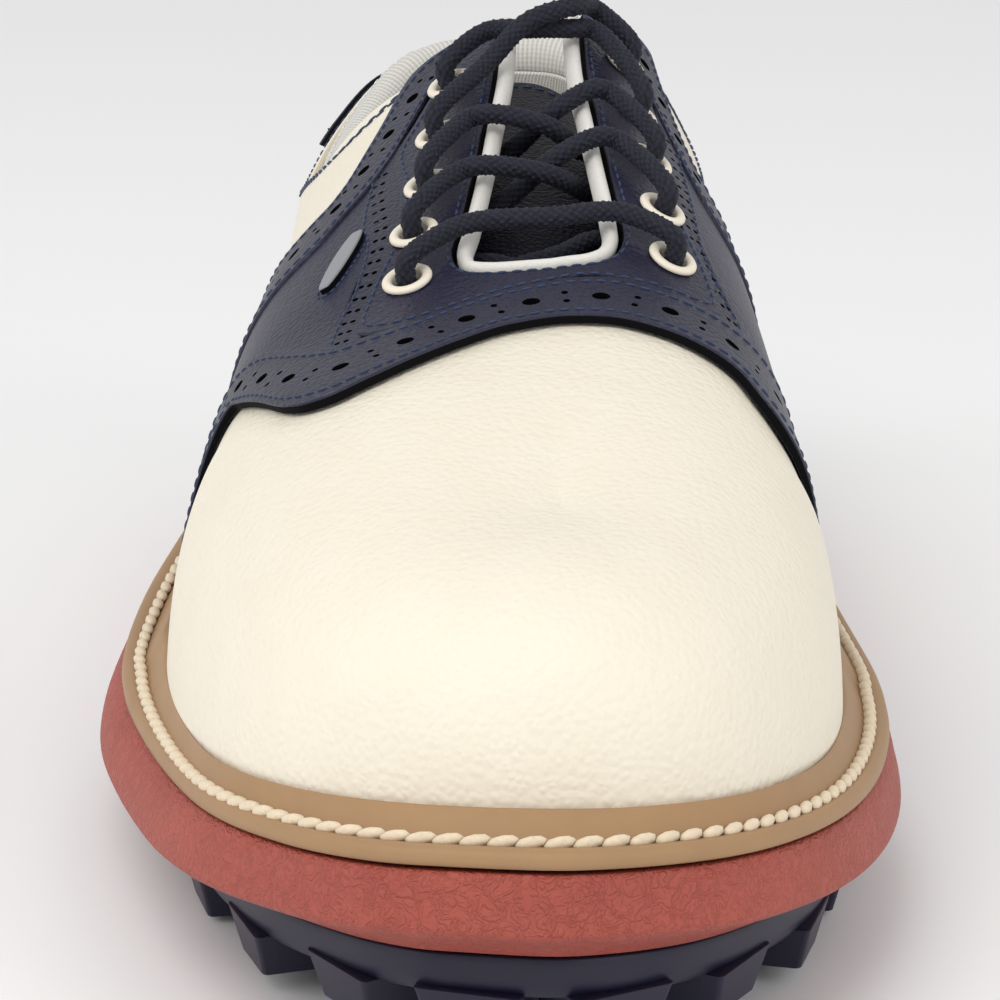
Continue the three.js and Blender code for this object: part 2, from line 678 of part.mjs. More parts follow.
// Heel parts wrap the heel in one piece: charts in (u, h), k from -1 lateral to +1 medial.
function heelWrap(reach, low, high, na, nb, offsets) {
  return shell((a, b) => {
    const k = mix(-1, 1, a);
    return [feather.heel + k * reach, mix(low, high(k), b)];
  }, na, nb, offsets, { onLoop: true });
}
const collarTop = path(COLLAR_TOP, LOOP_MM);
// Height of the padded collar's top edge at a foot fraction.
const collarH = graph(COLLAR_TOP.slice(3, -3));

add("heel_counter", FIBREBOARD, heelWrap(0.135, 0.01, (k) => 0.2 - 0.09 * k * k, 22, 2, STIFFENER));
add("quarter_lining", LINING_KNIT, shell((a, b) => {
  const u = mix(0.2125, 0.822, a);
  const k = Math.abs(u - feather.heel);
  const top = mix(collarH(u) - 0.165, 0.42, smoothstep(0.15, 0.22, k));
  return [u, mix(0.015, top, b)];
}, 34, 3, LINING, { onLoop: true }));
add("collar_foam", FOAM, shell((a, b) => {
  const u = mix(0.362, 0.646, a);
  return [u, collarH(u) + mix(-0.15, -0.1, b)];
}, 30, 2, [(a, b) => -4.8 - 0.6 * Math.sin(Math.PI * b), -3.4], { onLoop: true }));
add("collar_lining", LINING_KNIT, shell((a, b) => {
  const u = mix(0.352, 0.655, a);
  return [u, collarH(u) + mix(-0.155, -0.04, b)];
}, 30, 3, [(a, b) => mix(-7.0, -10.9, b) - 0.8 * Math.sin(Math.PI * b),
  (a, b) => mix(-6.0, -9.9, b) - 0.8 * Math.sin(Math.PI * b)], { onLoop: true }));

// Padded roll round the mouth, an oval section that thins towards both facing corners.
const ROLL = [3.6, 4.4];
const ROLL_DEPTH = -5.6;
const rollSections = [];
for (let i = 0; i <= 36; i++) {
  const t = i / 36;
  const [u, h] = collarTop(mix(0.1, 0.91, t));
  const [u2, h2] = collarTop(mix(0.1, 0.91, t) + 0.012);
  const [u1, h1] = collarTop(mix(0.1, 0.91, t) - 0.012);
  const along = wall(u2, h2, 0).sub(wall(u1, h1, 0)).normalize();
  const out = lastNormal(u, h);
  const up = along.clone().cross(out).normalize();
  if (up.z < 0) up.negate();
  const thin = mix(0.55, 1, smoothstep(0, 0.14, Math.min(t, 1 - t)));
  const c = wall(u, h, ROLL_DEPTH).addScaledVector(up, -ROLL[1] * thin);
  rollSections.push([0, 1, 2, 3, 4, 5, 6].map((j) => {
    const q = (j * 2 * Math.PI) / 7;
    return c.clone().addScaledVector(out, ROLL[0] * thin * Math.cos(q))
      .addScaledVector(up, ROLL[1] * thin * Math.sin(q));
  }));
}
add("collar_binding", LINING_KNIT, tube(rollSections));

// Navy backstay over the back of both quarters.
add("heel_tab", NAVY_LEATHER, shell((a, b) => {
  const k = mix(-1, 1, a);
  const u = feather.heel + k * mix(0.026, 0.07, b);
  return [u, mix(0.09, collarH(u) - 0.052, b)];
}, 14, 6, OVERLAY, { onLoop: true }));

// Navy saddle: front band, side panels, wedge bands, rear bands and the facing.
add("front_band", NAVY_LEATHER, shell((a, b) => {
  const w = mix(-0.985, 0.985, a);
  return [mix(bandFront(w), bandBack(w), b), w];
}, 44, 2, OVERLAY));

const SEAM = 0.6;
const SEAM_W = 0.02;
for (const [side, sg] of [["lateral", -1], ["medial", 1]]) {
  const low = wedgeLow[side];
  const high = wedgeHigh[side];
  const inner = rearInner[side];
  const outer = rearOuter[side];
  const wTop = sg < 0 ? -0.34 : 0.4;
  add("saddle_" + side, NAVY_LEATHER, shell((a, b) => {
    const guess = low(mix(bandBack(wTop) + 1, inner(wTop) - 1, a));
    const top = low(mix(bandBack(guess) + 1, inner(guess) - 1, a)) + SEAM_W * sg;
    const w = mix(0.985 * sg, top, b);
    return [mix(bandBack(w) + SEAM, inner(w) - 1.5 * SEAM, a), w];
  }, 10, 10, OVERLAY));
  add("wedge_band_" + side, NAVY_LEATHER, shell((a, b) => {
    const s0 = bandBack(wTop) + SEAM;
    const s1 = inner(high(inner(wTop) - 1)) - SEAM - 1;
    const s = mix(s0, s1, a);
    const w = mix(low(s), high(s), b);
    return [mix(bandBack(w) + SEAM, inner(w) - SEAM, a), w];
  }, 14, 1, OVERLAY));
  const wUp = sg < 0 ? -0.185 : 0.205;
  add("rear_band_" + side, NAVY_LEATHER, shell((a, b) => {
    const w = mix(0.985 * sg, wUp, a);
    return [mix(inner(w) + 0.2, outer(w), b), w];
  }, 20, 2, OVERLAY));
}

// Facing: one U of leather round the throat, its inner edge the throat line.
const THROAT = [
  [219, -0.1], [196, -0.106], [176, -0.118], [154, -0.128], [137, -0.14], [128, -0.148],
  [122.5, -0.13], [120.6, -0.09], [120.2, -0.03], [120.6, 0.03], [121.4, 0.08], [124, 0.122], [129, 0.145],
  [137, 0.143], [154, 0.125], [173, 0.108], [193, 0.09], [221, 0.082],
];
const FACING_EDGE = [
  [206, -0.176], [197, -0.21], [185, -0.244], [171, -0.276], [157, -0.248], [140, -0.244],
  [130, -0.258], [119, -0.282], [108, -0.29], [105.6, -0.24], [107, -0.18], [110.5, -0.12],
  [114.6, -0.05], [117, 0.02], [117.6, 0.08], [116.6, 0.16], [116, 0.24], [116, 0.32],
  [118, 0.368], [125, 0.358], [134, 0.33], [141, 0.304], [155, 0.286], [175, 0.294],
  [192, 0.268], [205, 0.228], [215, 0.196],
];
const throat = path(THROAT);
const facingEdge = path(FACING_EDGE);
const FACING = [-1.4, 1.9];
// Eyelet places down each side, from the toe end up.
const EYELETS = {
  lateral: [[121.5, -0.215], [137, -0.212], [154, -0.2], [173.5, -0.196], [195, -0.186]],
  medial: [[126, 0.255], [142.5, 0.244], [160.5, 0.23], [179.5, 0.215], [200, 0.2]],
};
let facing = shell(between(facingEdge, throat), 44, 2, FACING);
for (const places of Object.values(EYELETS)) {
  for (const [s, w] of places) {
    const n = skinNormal(s, w);
    const q = new THREE.Quaternion().setFromUnitVectors(new THREE.Vector3(0, 0, 1), n);
    const m = new THREE.Matrix4().compose(skin(s, w, 0), q, new THREE.Vector3(1, 1, 1));
    const drill = wasm.Manifold.cylinder(12, EYELET_HOLE_R, EYELET_HOLE_R, 10, true);
    facing = facing.subtract(drill.transform(m.toArray()));
  }
}
add("eyestay", NAVY_LEATHER, facing);

// Grommet: a barrel with a flange on each face of the facing, turned in one profile.
const GROMMET = [
  [EYELET_R[0], -2.8], [EYELET_R[2] - 0.5, -2.8], [EYELET_R[2] - 0.5, -2.2], [EYELET_R[1], -2.1],
  [EYELET_R[1], 2.25], [EYELET_R[2], 2.3], [EYELET_R[2] - 0.6, 3.0], [EYELET_R[0] + 0.2, 3.0],
];
for (const [side, places] of Object.entries(EYELETS)) {
  places.forEach(([s, w], i) => {
    const n = skinNormal(s, w);
    const q = new THREE.Quaternion().setFromUnitVectors(new THREE.Vector3(0, 0, 1), n);
    const c = skin(s, w, 0);
    const sections = [];
    for (let k = 0; k < 10; k++) {
      const t = (k * Math.PI) / 5;
      sections.push(GROMMET.map(([r, z]) => (
        new THREE.Vector3(r * Math.cos(t), r * Math.sin(t), z).applyQuaternion(q).add(c)
      )));
    }
    add("eyelet_" + side + "_" + (i + 1), EYELET_NYLON, torus(sections));
  });
}

// Piping round the throat, just inside the facing's edge.
const PIPE_R = [1.4, 2.0];
const pipeSections = [];
for (let i = 0; i <= 38; i++) {
  const t = i / 38;
  const here = throat(t);
  const a = throat(t - 0.01);
  const b = throat(t + 0.01);
  const along = skin(b[0], b[1]).sub(skin(a[0], a[1])).normalize();
  const n = skinNormal(here[0], here[1]);
  const inward = n.clone().cross(along).normalize();
  const c = skin(here[0], here[1], 0.35).addScaledVector(inward, PIPE_R[0] + 0.6);
  pipeSections.push([0, 1, 2, 3, 4, 5].map((j) => {
    const q = (j * Math.PI) / 3;
    return c.clone().addScaledVector(inward, PIPE_R[0] * Math.sin(q))
      .addScaledVector(n, PIPE_R[1] * Math.cos(q));
  }));
}
add("throat_binding", THROAT_CORD, tube(pipeSections));

// Plain badge plate on the lateral saddle.
add("badge", GREY_PLATE, shell((a, b) => {
  const [s, w] = [mix(128, 145, a), -0.372];
  const taper = Math.sin(Math.PI * mix(0.12, 0.88, a));
  return [s, w + 0.052 * a + mix(-0.028, 0.028, b) * taper];
}, 6, 2, [2.3, 3.1]));

// ---------------------------------------------------------------- tongue

// Outer face of the tongue: station s along the shoe, q from -1 lateral to +1 medial edge.
const tongueZ = graph([[104, 73.5], [112, 74], [122, 75.8], [150, 84], [175, 90.5], [195, 95], [212, 98]]);
const tongueHalf = graph([[104, 25], [150, 24.5], [175, 20], [190, 16], [207, 15.5], [212, 12]]);
const tongueX = graph([[104, 6], [150, 5], [200, 3]]);
const tongueDrop = graph([[104, 8], [150, 9], [200, 6.5], [212, 4.5]]);
const tongueFace = (s, q) => new THREE.Vector3(
  tongueX(s) + q * tongueHalf(s), s + TOE_Y, tongueZ(s) - tongueDrop(s) * q * q);
function onTongue(s, q, d) {
  const ds = tongueFace(s + 0.5, q).sub(tongueFace(s - 0.5, q));
  const dq = tongueFace(s, q + 0.01).sub(tongueFace(s, q - 0.01));
  return tongueFace(s, q).addScaledVector(dq.cross(ds).normalize(), d);
}
function tongueLayer(name, finish, s0, s1, width, top, thick, na, nb) {
  add(name, finish, shell((a, b) => [mix(s0, s1, b), mix(-width, width, a)], na, nb,
    [-top - thick, -top], { place: onTongue }));
}
tongueLayer("tongue", NAVY_LEATHER, 104, 211, 1, 0, 1.3, 10, 12);
tongueLayer("tongue_padding", FOAM, 124, 210, 0.95, 1.7, 3.8, 8, 9);
tongueLayer("tongue_lining", LINING_KNIT, 108, 211, 1, 5.9, 1, 10, 10);

// ---------------------------------------------------------------- shoelace

const BEND_R = 2.4;
const BEND_TOP = 3.2;
const BEND_LOW = -3;
const point = ([s, w, d]) => skin(s, w, d);
// Lace route through one eyelet, from chart point `before` to `after`, upwards or downwards.
function throughEyelet(side, i, up, before, after) {
  const [s, w] = EYELETS[side][i - 1];
  const c = skin(s, w, 0);
  const n = skinNormal(s, w);
  const flat = (target) => {
    const v = point(target).sub(c);
    return v.addScaledVector(n, -v.dot(n)).normalize();
  };
  const arc = (level, sign, dir) => [0, 0.5, 1].map((q) => {
    const a = (q * Math.PI) / 2;
    return c.clone().addScaledVector(n, level + sign * BEND_R * Math.sin(a))
      .addScaledVector(dir, BEND_R * (1 - Math.cos(a)));
  });
  const inside = arc(BEND_LOW, -1, flat(up ? before : after));
  const outside = arc(BEND_TOP, 1, flat(up ? after : before));
  return up ? [...inside.reverse(), ...outside] : [...outside.reverse(), ...inside];
}
// The route as chart points between eyelet passes ["side", eyelet, going up].
const ROUTE = [
  [[253, -0.71, -17], [242, -0.68, -18], [230, -0.61, -19.5], [219, -0.57, -17],
    [210, -0.52, -12.4], [204, -0.45, -8.3], [200, -0.36, -5.8], [197, -0.27, -5.2]],
  ["lateral", 5, true],
  [[207, -0.1, 5.4], [207.5, -0.03, 4.9], [207, 0.03, 4.6], [205, 0.088, 5]],
  ["medial", 4, false],
  [[175, 0.09, -4.6], [173.5, -0.01, 1.2], [171.5, -0.096, 5], [170.5, -0.13, 5]],
  ["lateral", 3, false],
  [[155.5, -0.105, -4.6], [160.5, 0, 1.2], [159.5, 0.093, 5], [158.5, 0.13, 5]],
  ["medial", 2, false],
  [[141, 0.1, -4.8], [137.5, 0.01, -5.2], [131, -0.1, -4.8]],
  ["lateral", 1, true],
  [[131, -0.12, 5], [133, 0, 4], [132, 0.125, 5]],
  ["medial", 1, false],
  [[131, 0.1, -5], [135.5, -0.005, -8.9], [136.5, -0.1, -5.2]],
  ["lateral", 2, true],
  [[150.5, -0.135, 5], [151.5, -0.1, 5], [154.5, -0.01, 1.2], [158, 0.1, -4.6]],
  ["medial", 3, true],
  [[178, 0.12, 5], [179, 0.086, 5], [179.8, 0, 1.2], [176.5, -0.096, -4.6]],
  ["lateral", 4, true],
  [[193, -0.105, 5], [204, -0.02, 7.8], [208, 0.03, 8.3], [213, 0.085, 5.8]],
  ["medial", 5, false],
  [[202, 0.28, -5.2], [205, 0.36, -5.8], [209, 0.45, -8.3], [214, 0.52, -12.4], [222, 0.57, -17],
    [230, 0.61, -19.5], [243, 0.68, -18], [253, 0.71, -17]],
];
const knots = [];
ROUTE.forEach((part, i) => {
  if (typeof part[0] === "string") {
    knots.push(...throughEyelet(...part, ROUTE[i - 1].at(-1), ROUTE[i + 1][0]));
  } else {
    knots.push(...part.map(point));
  }
});
const laceLine = new THREE.CatmullRomCurve3(knots, false, "centripetal");
laceLine.arcLengthDivisions = 3000;
const LACE_LENGTH = laceLine.getLength();
const LACE_STEPS = Math.round(LACE_LENGTH / 4);
const frames = laceLine.computeFrenetFrames(LACE_STEPS, false);
const laceSections = [];
for (let i = 0; i <= LACE_STEPS; i++) {
  const c = laceLine.getPointAt(i / LACE_STEPS);
  laceSections.push([0, 1, 2, 3, 4].map((j) => {
    const q = (j * 2 * Math.PI) / 5;
    return c.clone().addScaledVector(frames.normals[i], LACE_R * Math.cos(q))
      .addScaledVector(frames.binormals[i], LACE_R * Math.sin(q));
  }));
}
add("shoelace", LACE_YARN, tube(laceSections));
for (const [name, end, out] of [["aglet_lateral", 0, -1], ["aglet_medial", 1, 1]]) {
  const c = laceLine.getPointAt(end);
  const t = laceLine.getTangentAt(end).multiplyScalar(out);
  const turn = new THREE.Quaternion().setFromUnitVectors(new THREE.Vector3(0, 0, 1), t);
  const start = c.clone().addScaledVector(t, 0.4);
  const m = new THREE.Matrix4().compose(start, turn, new THREE.Vector3(1, 1, 1));
  add(name, ACETATE, wasm.Manifold.cylinder(18, 1.45, 1.2, 8).transform(m.toArray()));
}

export default group;
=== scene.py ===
# %% [markdown]
# # A right-foot golf shoe
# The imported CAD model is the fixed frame: it says where every piece of the shoe is, and which
# pieces move. This lesson dresses that frame. It rebuilds the shoe's last (the foot-shaped form
# the upper is pulled over) as a formula, lays leather panels on it, and then adds stitches,
# perforations, lacing, welt, midsole and tread.

# %% Load the frame
import math

import bmesh
import bpy
import numpy as np
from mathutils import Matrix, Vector


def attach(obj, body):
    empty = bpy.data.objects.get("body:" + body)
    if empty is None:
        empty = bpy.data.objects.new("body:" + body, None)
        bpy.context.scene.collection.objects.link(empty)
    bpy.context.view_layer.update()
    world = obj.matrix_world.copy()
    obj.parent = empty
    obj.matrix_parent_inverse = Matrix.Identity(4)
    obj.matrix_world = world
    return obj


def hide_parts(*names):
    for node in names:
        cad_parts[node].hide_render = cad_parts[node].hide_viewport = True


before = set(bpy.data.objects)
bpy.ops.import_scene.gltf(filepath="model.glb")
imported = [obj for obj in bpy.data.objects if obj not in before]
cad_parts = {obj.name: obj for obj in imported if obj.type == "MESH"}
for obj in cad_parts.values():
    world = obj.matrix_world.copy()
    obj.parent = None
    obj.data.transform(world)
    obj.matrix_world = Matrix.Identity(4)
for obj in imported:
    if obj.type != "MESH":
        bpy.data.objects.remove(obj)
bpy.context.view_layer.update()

MM = 0.001
SHOE = "shoe"

# %% [markdown]
# ## Camera
# The camera stands in front of the toe and a little above it, with a long lens so that the toe
# doesn't balloon. It comes first.

# %% Camera
CENTRE = np.array([1.06, 0.45, 0.0])
CAMERA_PLACE = np.array([0.0, -654.0, 228.0]) + CENTRE
CAMERA_PITCH = 16.0
LENS = 154.8

camera_data = bpy.data.cameras.new("camera")
camera_data.lens = LENS
camera_data.sensor_width = 36.0
camera = bpy.data.objects.new("camera", camera_data)
camera.location = Vector(CAMERA_PLACE * MM)
camera.rotation_euler = (math.radians(90.0 - CAMERA_PITCH), 0.0, 0.0)
bpy.context.scene.collection.objects.link(camera)
bpy.context.scene.camera = camera
bpy.context.scene.view_settings.view_transform = "Standard"
print("camera:", LENS, "mm lens")

# %% [markdown]
# ## The last
# Every panel of an upper is cut flat and pulled over a last. So one smooth surface is enough
# for all of them: a station `s` runs from the toe (0) to the heel, and a signed height `w` runs
# from the outer feather line (-1) over the ridge (0) to the inner feather line (+1). Lengths are
# millimetres, as in the drawing of the parts.

# %% Curves
def mix(a, b, t):
    return a + (b - a) * t


def smoothstep(a, b, x):
    t = np.clip((np.asarray(x, float) - a) / (b - a), 0, 1)
    return t * t * (3 - 2 * t)


def graph(points):
    """Monotone cubic through (x, y) pairs, held constant past both ends."""
    x, y = np.array(points, float).T
    h = np.diff(x)
    d = np.diff(y) / h
    m = np.empty(len(x))
    m[0] = d[0]
    m[-1] = d[-1]
    for i in range(1, len(x) - 1):
        a = 2 * h[i] + h[i - 1]
        b = h[i] + 2 * h[i - 1]
        m[i] = 0 if d[i - 1] * d[i] <= 0 else (a + b) / (a / d[i - 1] + b / d[i])

    def read(v):
        q = np.clip(np.asarray(v, float), x[0], x[-1])
        i = np.clip(np.searchsorted(x, q) - 1, 0, len(x) - 2)
        t = (q - x[i]) / h[i]
        g = 1 - t
        low = (1 + 2 * t) * g * g * y[i] + t * g * g * h[i] * m[i]
        return low + t * t * (3 - 2 * t) * y[i + 1] + t * t * (t - 1) * h[i] * m[i + 1]

    return read


class Loop:
    """Closed smooth loop through (x, s) points, read by its length fraction u."""

    def __init__(self, points, samples=960):
        p = np.array(points, float)
        n = len(p)
        q = np.arange(samples) * n / samples
        i = q.astype(int)
        t = (q - i)[:, None]
        a, b, c, d = [p[(i + o) % n] for o in (-1, 0, 1, 2)]
        line = 0.5 * (2 * b + (c - a) * t + (2 * a - 5 * b + 4 * c - d) * t**2
                      + (3 * b - a - 3 * c + d) * t**3)
        self.line = np.vstack([line, line[:1]])
        step = np.linalg.norm(np.diff(self.line, axis=0), axis=1)
        self.arc = np.concatenate([[0], np.cumsum(step)]) / step.sum()
        self.toe = self.arc[np.argmin(line[:, 1])]
        self.heel = self.arc[np.argmax(line[:, 1])]

    def at(self, u):
        v = np.mod(u, 1.0)
        return [np.interp(v, self.arc, self.line[:, k]) for k in (0, 1)]

    def half(self, k):
        """Half turns: 0 toe, 1 heel along the outer side, 2 back at the toe."""
        k = np.asarray(k, float)
        u = np.where(k <= 1, mix(self.toe, self.heel, k), mix(self.heel, self.toe + 1, k - 1))
        x, s = self.at(u)
        xa, sa = self.at(u - 0.004)
        xb, sb = self.at(u + 0.004)
        length = np.hypot(xb - xa, sb - sa)
        return u, x, s, -(sb - sa) / length, (xb - xa) / length


print("halfway:", mix(0, 10, 0.5), float(smoothstep(0, 10, 5)))

# %% [markdown]
# ### The last in numbers
# A shoe is built round a last, the form that gives it its inside shape. A last can be carved or
# scanned; here a few curves give its ridge, its shoulders and its outline, because every panel
# can then be placed on it by station and height.

# %% The last's dimensions
TOE_Y = -150.0
TOE_SPRING, SPRING_FROM = 11.0, 105.0
HEEL_RISE, RISE_FROM, RISE_TO = 8.5, 110.0, 230.0
HEEL_ROCKER, ROCKER_FROM = 2.5, 255.0
FEATHER_Z = 24.2
MEDIAL_TILT = 2.5
SPINE_ENDS = (52.0, 228.0)
FEATHER = [
    (9, 10.5), (-9, 13.5), (-25, 24), (-37.5, 43), (-45, 72), (-48.5, 103), (-46, 135),
    (-41.5, 170), (-39, 205), (-37, 240), (-32.5, 268), (-20, 287.5), (0.5, 293.5),
    (20.5, 287.5), (32.5, 268), (36.5, 240), (38, 205), (40.5, 170), (44.5, 135), (48, 103),
    (48, 76), (43.5, 46), (34, 25), (22, 14),
]
WELT_EDGE = [
    (10, -0.6), (-7.5, 2.6), (-17.8, 7.7), (-28.5, 19.6), (-40.5, 42), (-51.8, 81),
    (-56.8, 110), (-56, 140), (-50.5, 175), (-46, 205), (-43, 240), (-38, 270), (-24, 292),
    (0.5, 298.5), (25, 292), (38, 270), (42, 240), (44.5, 205), (47.5, 172), (52.5, 138),
    (56.3, 104), (55.5, 76), (50, 48), (41, 25.5), (28, 8.5),
]
spine_z = graph([(52, 68), (80, 75.5), (111, 82), (125, 87.5), (150, 96.5), (175, 104.5),
                 (195, 111), (215, 119), (232, 128)])
spine_x = graph([(52, 8), (111, 8), (150, 8.5), (195, 8.5), (232, 4)])
shoulder = graph([(10, 0.92), (60, 0.86), (111, 0.78), (150, 0.72), (200, 0.66), (250, 0.72),
                  (294, 0.75)])
flatness = graph([(10, 0.62), (60, 0.64), (111, 0.66), (150, 0.66), (200, 0.62), (250, 0.7),
                  (294, 0.75)])
bulge = graph([(10, 2), (60, 0.5), (105, -0.5), (130, 1.5), (160, 3), (200, 2.5), (250, 2.5),
               (294, 4)])
feather = Loop(FEATHER)
welt_edge = Loop(WELT_EDGE)
print("last:", len(FEATHER), "points round the foot,", len(WELT_EDGE), "round the welt")

# %% [markdown]
# ### The last as a surface
# One function turns a station and a height into a point. A mesh could be sculpted instead, but
# a function lets two panels share an edge exactly.

# %% The last's surface
def spring(s):
    return TOE_SPRING * np.clip((SPRING_FROM - s) / SPRING_FROM, 0, 1) ** 2


def wedge(s):
    return HEEL_RISE * smoothstep(RISE_FROM, RISE_TO, s)


def lift(s, share):
    """Height added to a layer of the sole: toe spring, and the wedge or the heel rocker."""
    rocker = HEEL_ROCKER * smoothstep(ROCKER_FROM, 300, s)
    return spring(s) + share * wedge(s) + (1 - share) * rocker


def spine_station(s):
    ease = 0.16
    t = np.clip((s - 8) / 288, 0, 1)
    e = np.where(t < ease, t * t / (2 * ease), t - ease / 2)
    e = np.where(t > 1 - ease, 1 - ease - (1 - t) ** 2 / (2 * ease), e)
    return mix(*SPINE_ENDS, e / (1 - ease))


half_turn = {side: np.linspace(feather.toe + (side > 0), feather.heel, 1500) for side in (-1, 1)}
half_station = {side: feather.at(half_turn[side])[1] for side in (-1, 1)}


def foot_u(s, w):
    """Fraction round the feather line for station s, on the side that w's sign gives."""
    lateral = np.interp(s, half_station[-1], half_turn[-1])
    medial = np.interp(s, half_station[1], half_turn[1])
    return np.where(np.asarray(w) < 0, lateral, medial)


def last(u, h):
    x, s = feather.at(u)
    station = spine_station(s)
    dx = spine_x(station) - x
    ds = station - s
    length = np.hypot(dx, ds)
    top = spine_z(station)
    base = FEATHER_Z + spring(s) + wedge(s)
    tilt = MEDIAL_TILT * smoothstep(70, 130, s) * np.clip(x / 35, -1, 1)
    g = 1 - h
    w1, w2, w3 = 3 * h * g * g, 3 * h * h * g, h**3
    d = (-w1 * bulge(s) + w2 * length * (1 - flatness(s)) + w3 * length) / length
    z = g**3 * base + w1 * (base + shoulder(s) * (top - base)) + w2 * (top + tilt) + w3 * top
    return np.stack([x + dx * d, s + TOE_Y + ds * d, z + 0 * d], -1)


def unit(v):
    return v / np.maximum(np.linalg.norm(v, axis=-1, keepdims=True), 1e-12)


def last_normal(u, h):
    e = 0.002
    du = last(u + e, h) - last(u - e, h)
    dh = last(u, np.minimum(1, h + e)) - last(u, np.maximum(0, h - e))
    return unit(np.cross(dh, du))


def wall(u, h, d):
    """Point at feather fraction u and height fraction h, d outside the last."""
    u, h, d = np.broadcast_arrays(*[np.asarray(v, float) for v in (u, h, d)])
    return last(u, h) + last_normal(u, h) * d[..., None]


RIDGE_BLEND = 0.02


def skin_normal(s, w):
    s, w = np.broadcast_arrays(np.asarray(s, float), np.asarray(w, float))
    own = last_normal(foot_u(s, w), np.minimum(1 - np.abs(w), 0.99))
    near_top = 0.985 + 0 * s
    ridge = unit(last_normal(foot_u(s, -1), near_top) + last_normal(foot_u(s, 1), near_top))
    k = smoothstep(0.0, RIDGE_BLEND, np.abs(w))[..., None]
    return unit(mix(ridge, own, k))


def skin(s, w, d=0.0):
    """Point at station s and signed height w, d outside the last."""
    s, w, d = np.broadcast_arrays(*[np.asarray(v, float) for v in (s, w, d)])
    return last(foot_u(s, w), 1 - np.abs(w)) + skin_normal(s, w) * d[..., None]


def path(points, scale=1.0, samples=1200):
    """Centripetal Catmull-Rom through chart points, read evenly along its length."""
    p = np.array([(a * scale, b * 90.0) for a, b in points])
    read = spline(p, samples)

    def at(t):
        q = read(t)
        return q[..., 0] / scale, q[..., 1] / 90.0

    return at


def spline(p, samples=1200, full=False):
    p = np.asarray(p, float)
    p = np.vstack([2 * p[0] - p[1], p, 2 * p[-1] - p[-2]])
    out = []
    per = max(4, samples // (len(p) - 3))
    for i in range(1, len(p) - 2):
        a, b, c, d = p[i - 1 : i + 3]
        k0, k1, k2 = [max(np.linalg.norm(v) ** 0.5, 1e-6) for v in (b - a, c - b, d - c)]
        m1 = k1 * ((b - a) / k0 - (c - a) / (k0 + k1) + (c - b) / k1)
        m2 = k1 * ((c - b) / k1 - (d - b) / (k1 + k2) + (d - c) / k2)
        t = np.linspace(0, 1, per, endpoint=False)[:, None]
        out.append((2 * t**3 - 3 * t**2 + 1) * b + (t**3 - 2 * t**2 + t) * m1
                   + (3 * t**2 - 2 * t**3) * c + (t**3 - t**2) * m2)
    line = np.vstack(out + [p[-2:-1]])
    step = np.linalg.norm(np.diff(line, axis=0), axis=1)
    arc = np.concatenate([[0], np.cumsum(step)])
    if full:
        return line, arc
    return lambda t: np.stack(
        [np.interp(np.clip(t, 0, 1) * arc[-1], arc, line[:, k]) for k in range(p.shape[1])], -1)


print("last: ridge height at the throat", float(spine_z(120)), "mm")

# %% [markdown]
# ## Materials
# Each finish starts from the real stuff: what it is, how its surface was made, and what that
# does to light. Grain, weave and wrinkle sizes are real millimetres. One small function adds a
# node with its settings and links, and one turns an sRGB hex colour into the linear values that
# a shader wants.

# %% Colour and node helpers
def colour(hex_code):
    srgb = [int(hex_code[i : i + 2], 16) / 255 for i in (1, 3, 5)]
    return [c / 12.92 if c <= 0.04045 else ((c + 0.055) / 1.055) ** 2.4 for c in srgb] + [1.0]


def add(tree, kind, links=None, **settings):
    """Adds a node; links maps an input's name or number to a socket or a value."""
    node = tree.nodes.new(kind)
    for key, value in settings.items():
        setattr(node, key, value)
    for key, value in (links or {}).items():
        socket = node.inputs[key]
        if isinstance(value, bpy.types.NodeSocket):
            tree.links.new(value, socket)
        else:
            socket.default_value = value
    return node


def start_material(name):
    material = bpy.data.materials.new(name)
    material.use_nodes = True
    tree = material.node_tree
    shader = tree.nodes["Principled BSDF"]
    place = add(tree, "ShaderNodeTexCoord").outputs["Object"]
    return material, tree, shader, place


def per_mm(size):
    """Texture scale that repeats every `size` millimetres in a scene of metres."""
    return 1.0 / (size * MM)


def blend(tree, factor, a, b):
    node = add(tree, "ShaderNodeMix", {0: factor, 6: a, 7: b}, data_type="RGBA")
    return node.outputs[2]


print("mid grey is", round(colour("#808080")[0], 3), "in linear light")

# %% [markdown]
# ### Leather
# Full-grain cowhide, tumbled and then sprayed with a pigmented acrylic top coat. The coat gives
# a soft, broad highlight. The tumbling leaves shallow pebbles about a millimetre across, with
# finer creases between them, and the pigment lies a little thinner on the high spots.

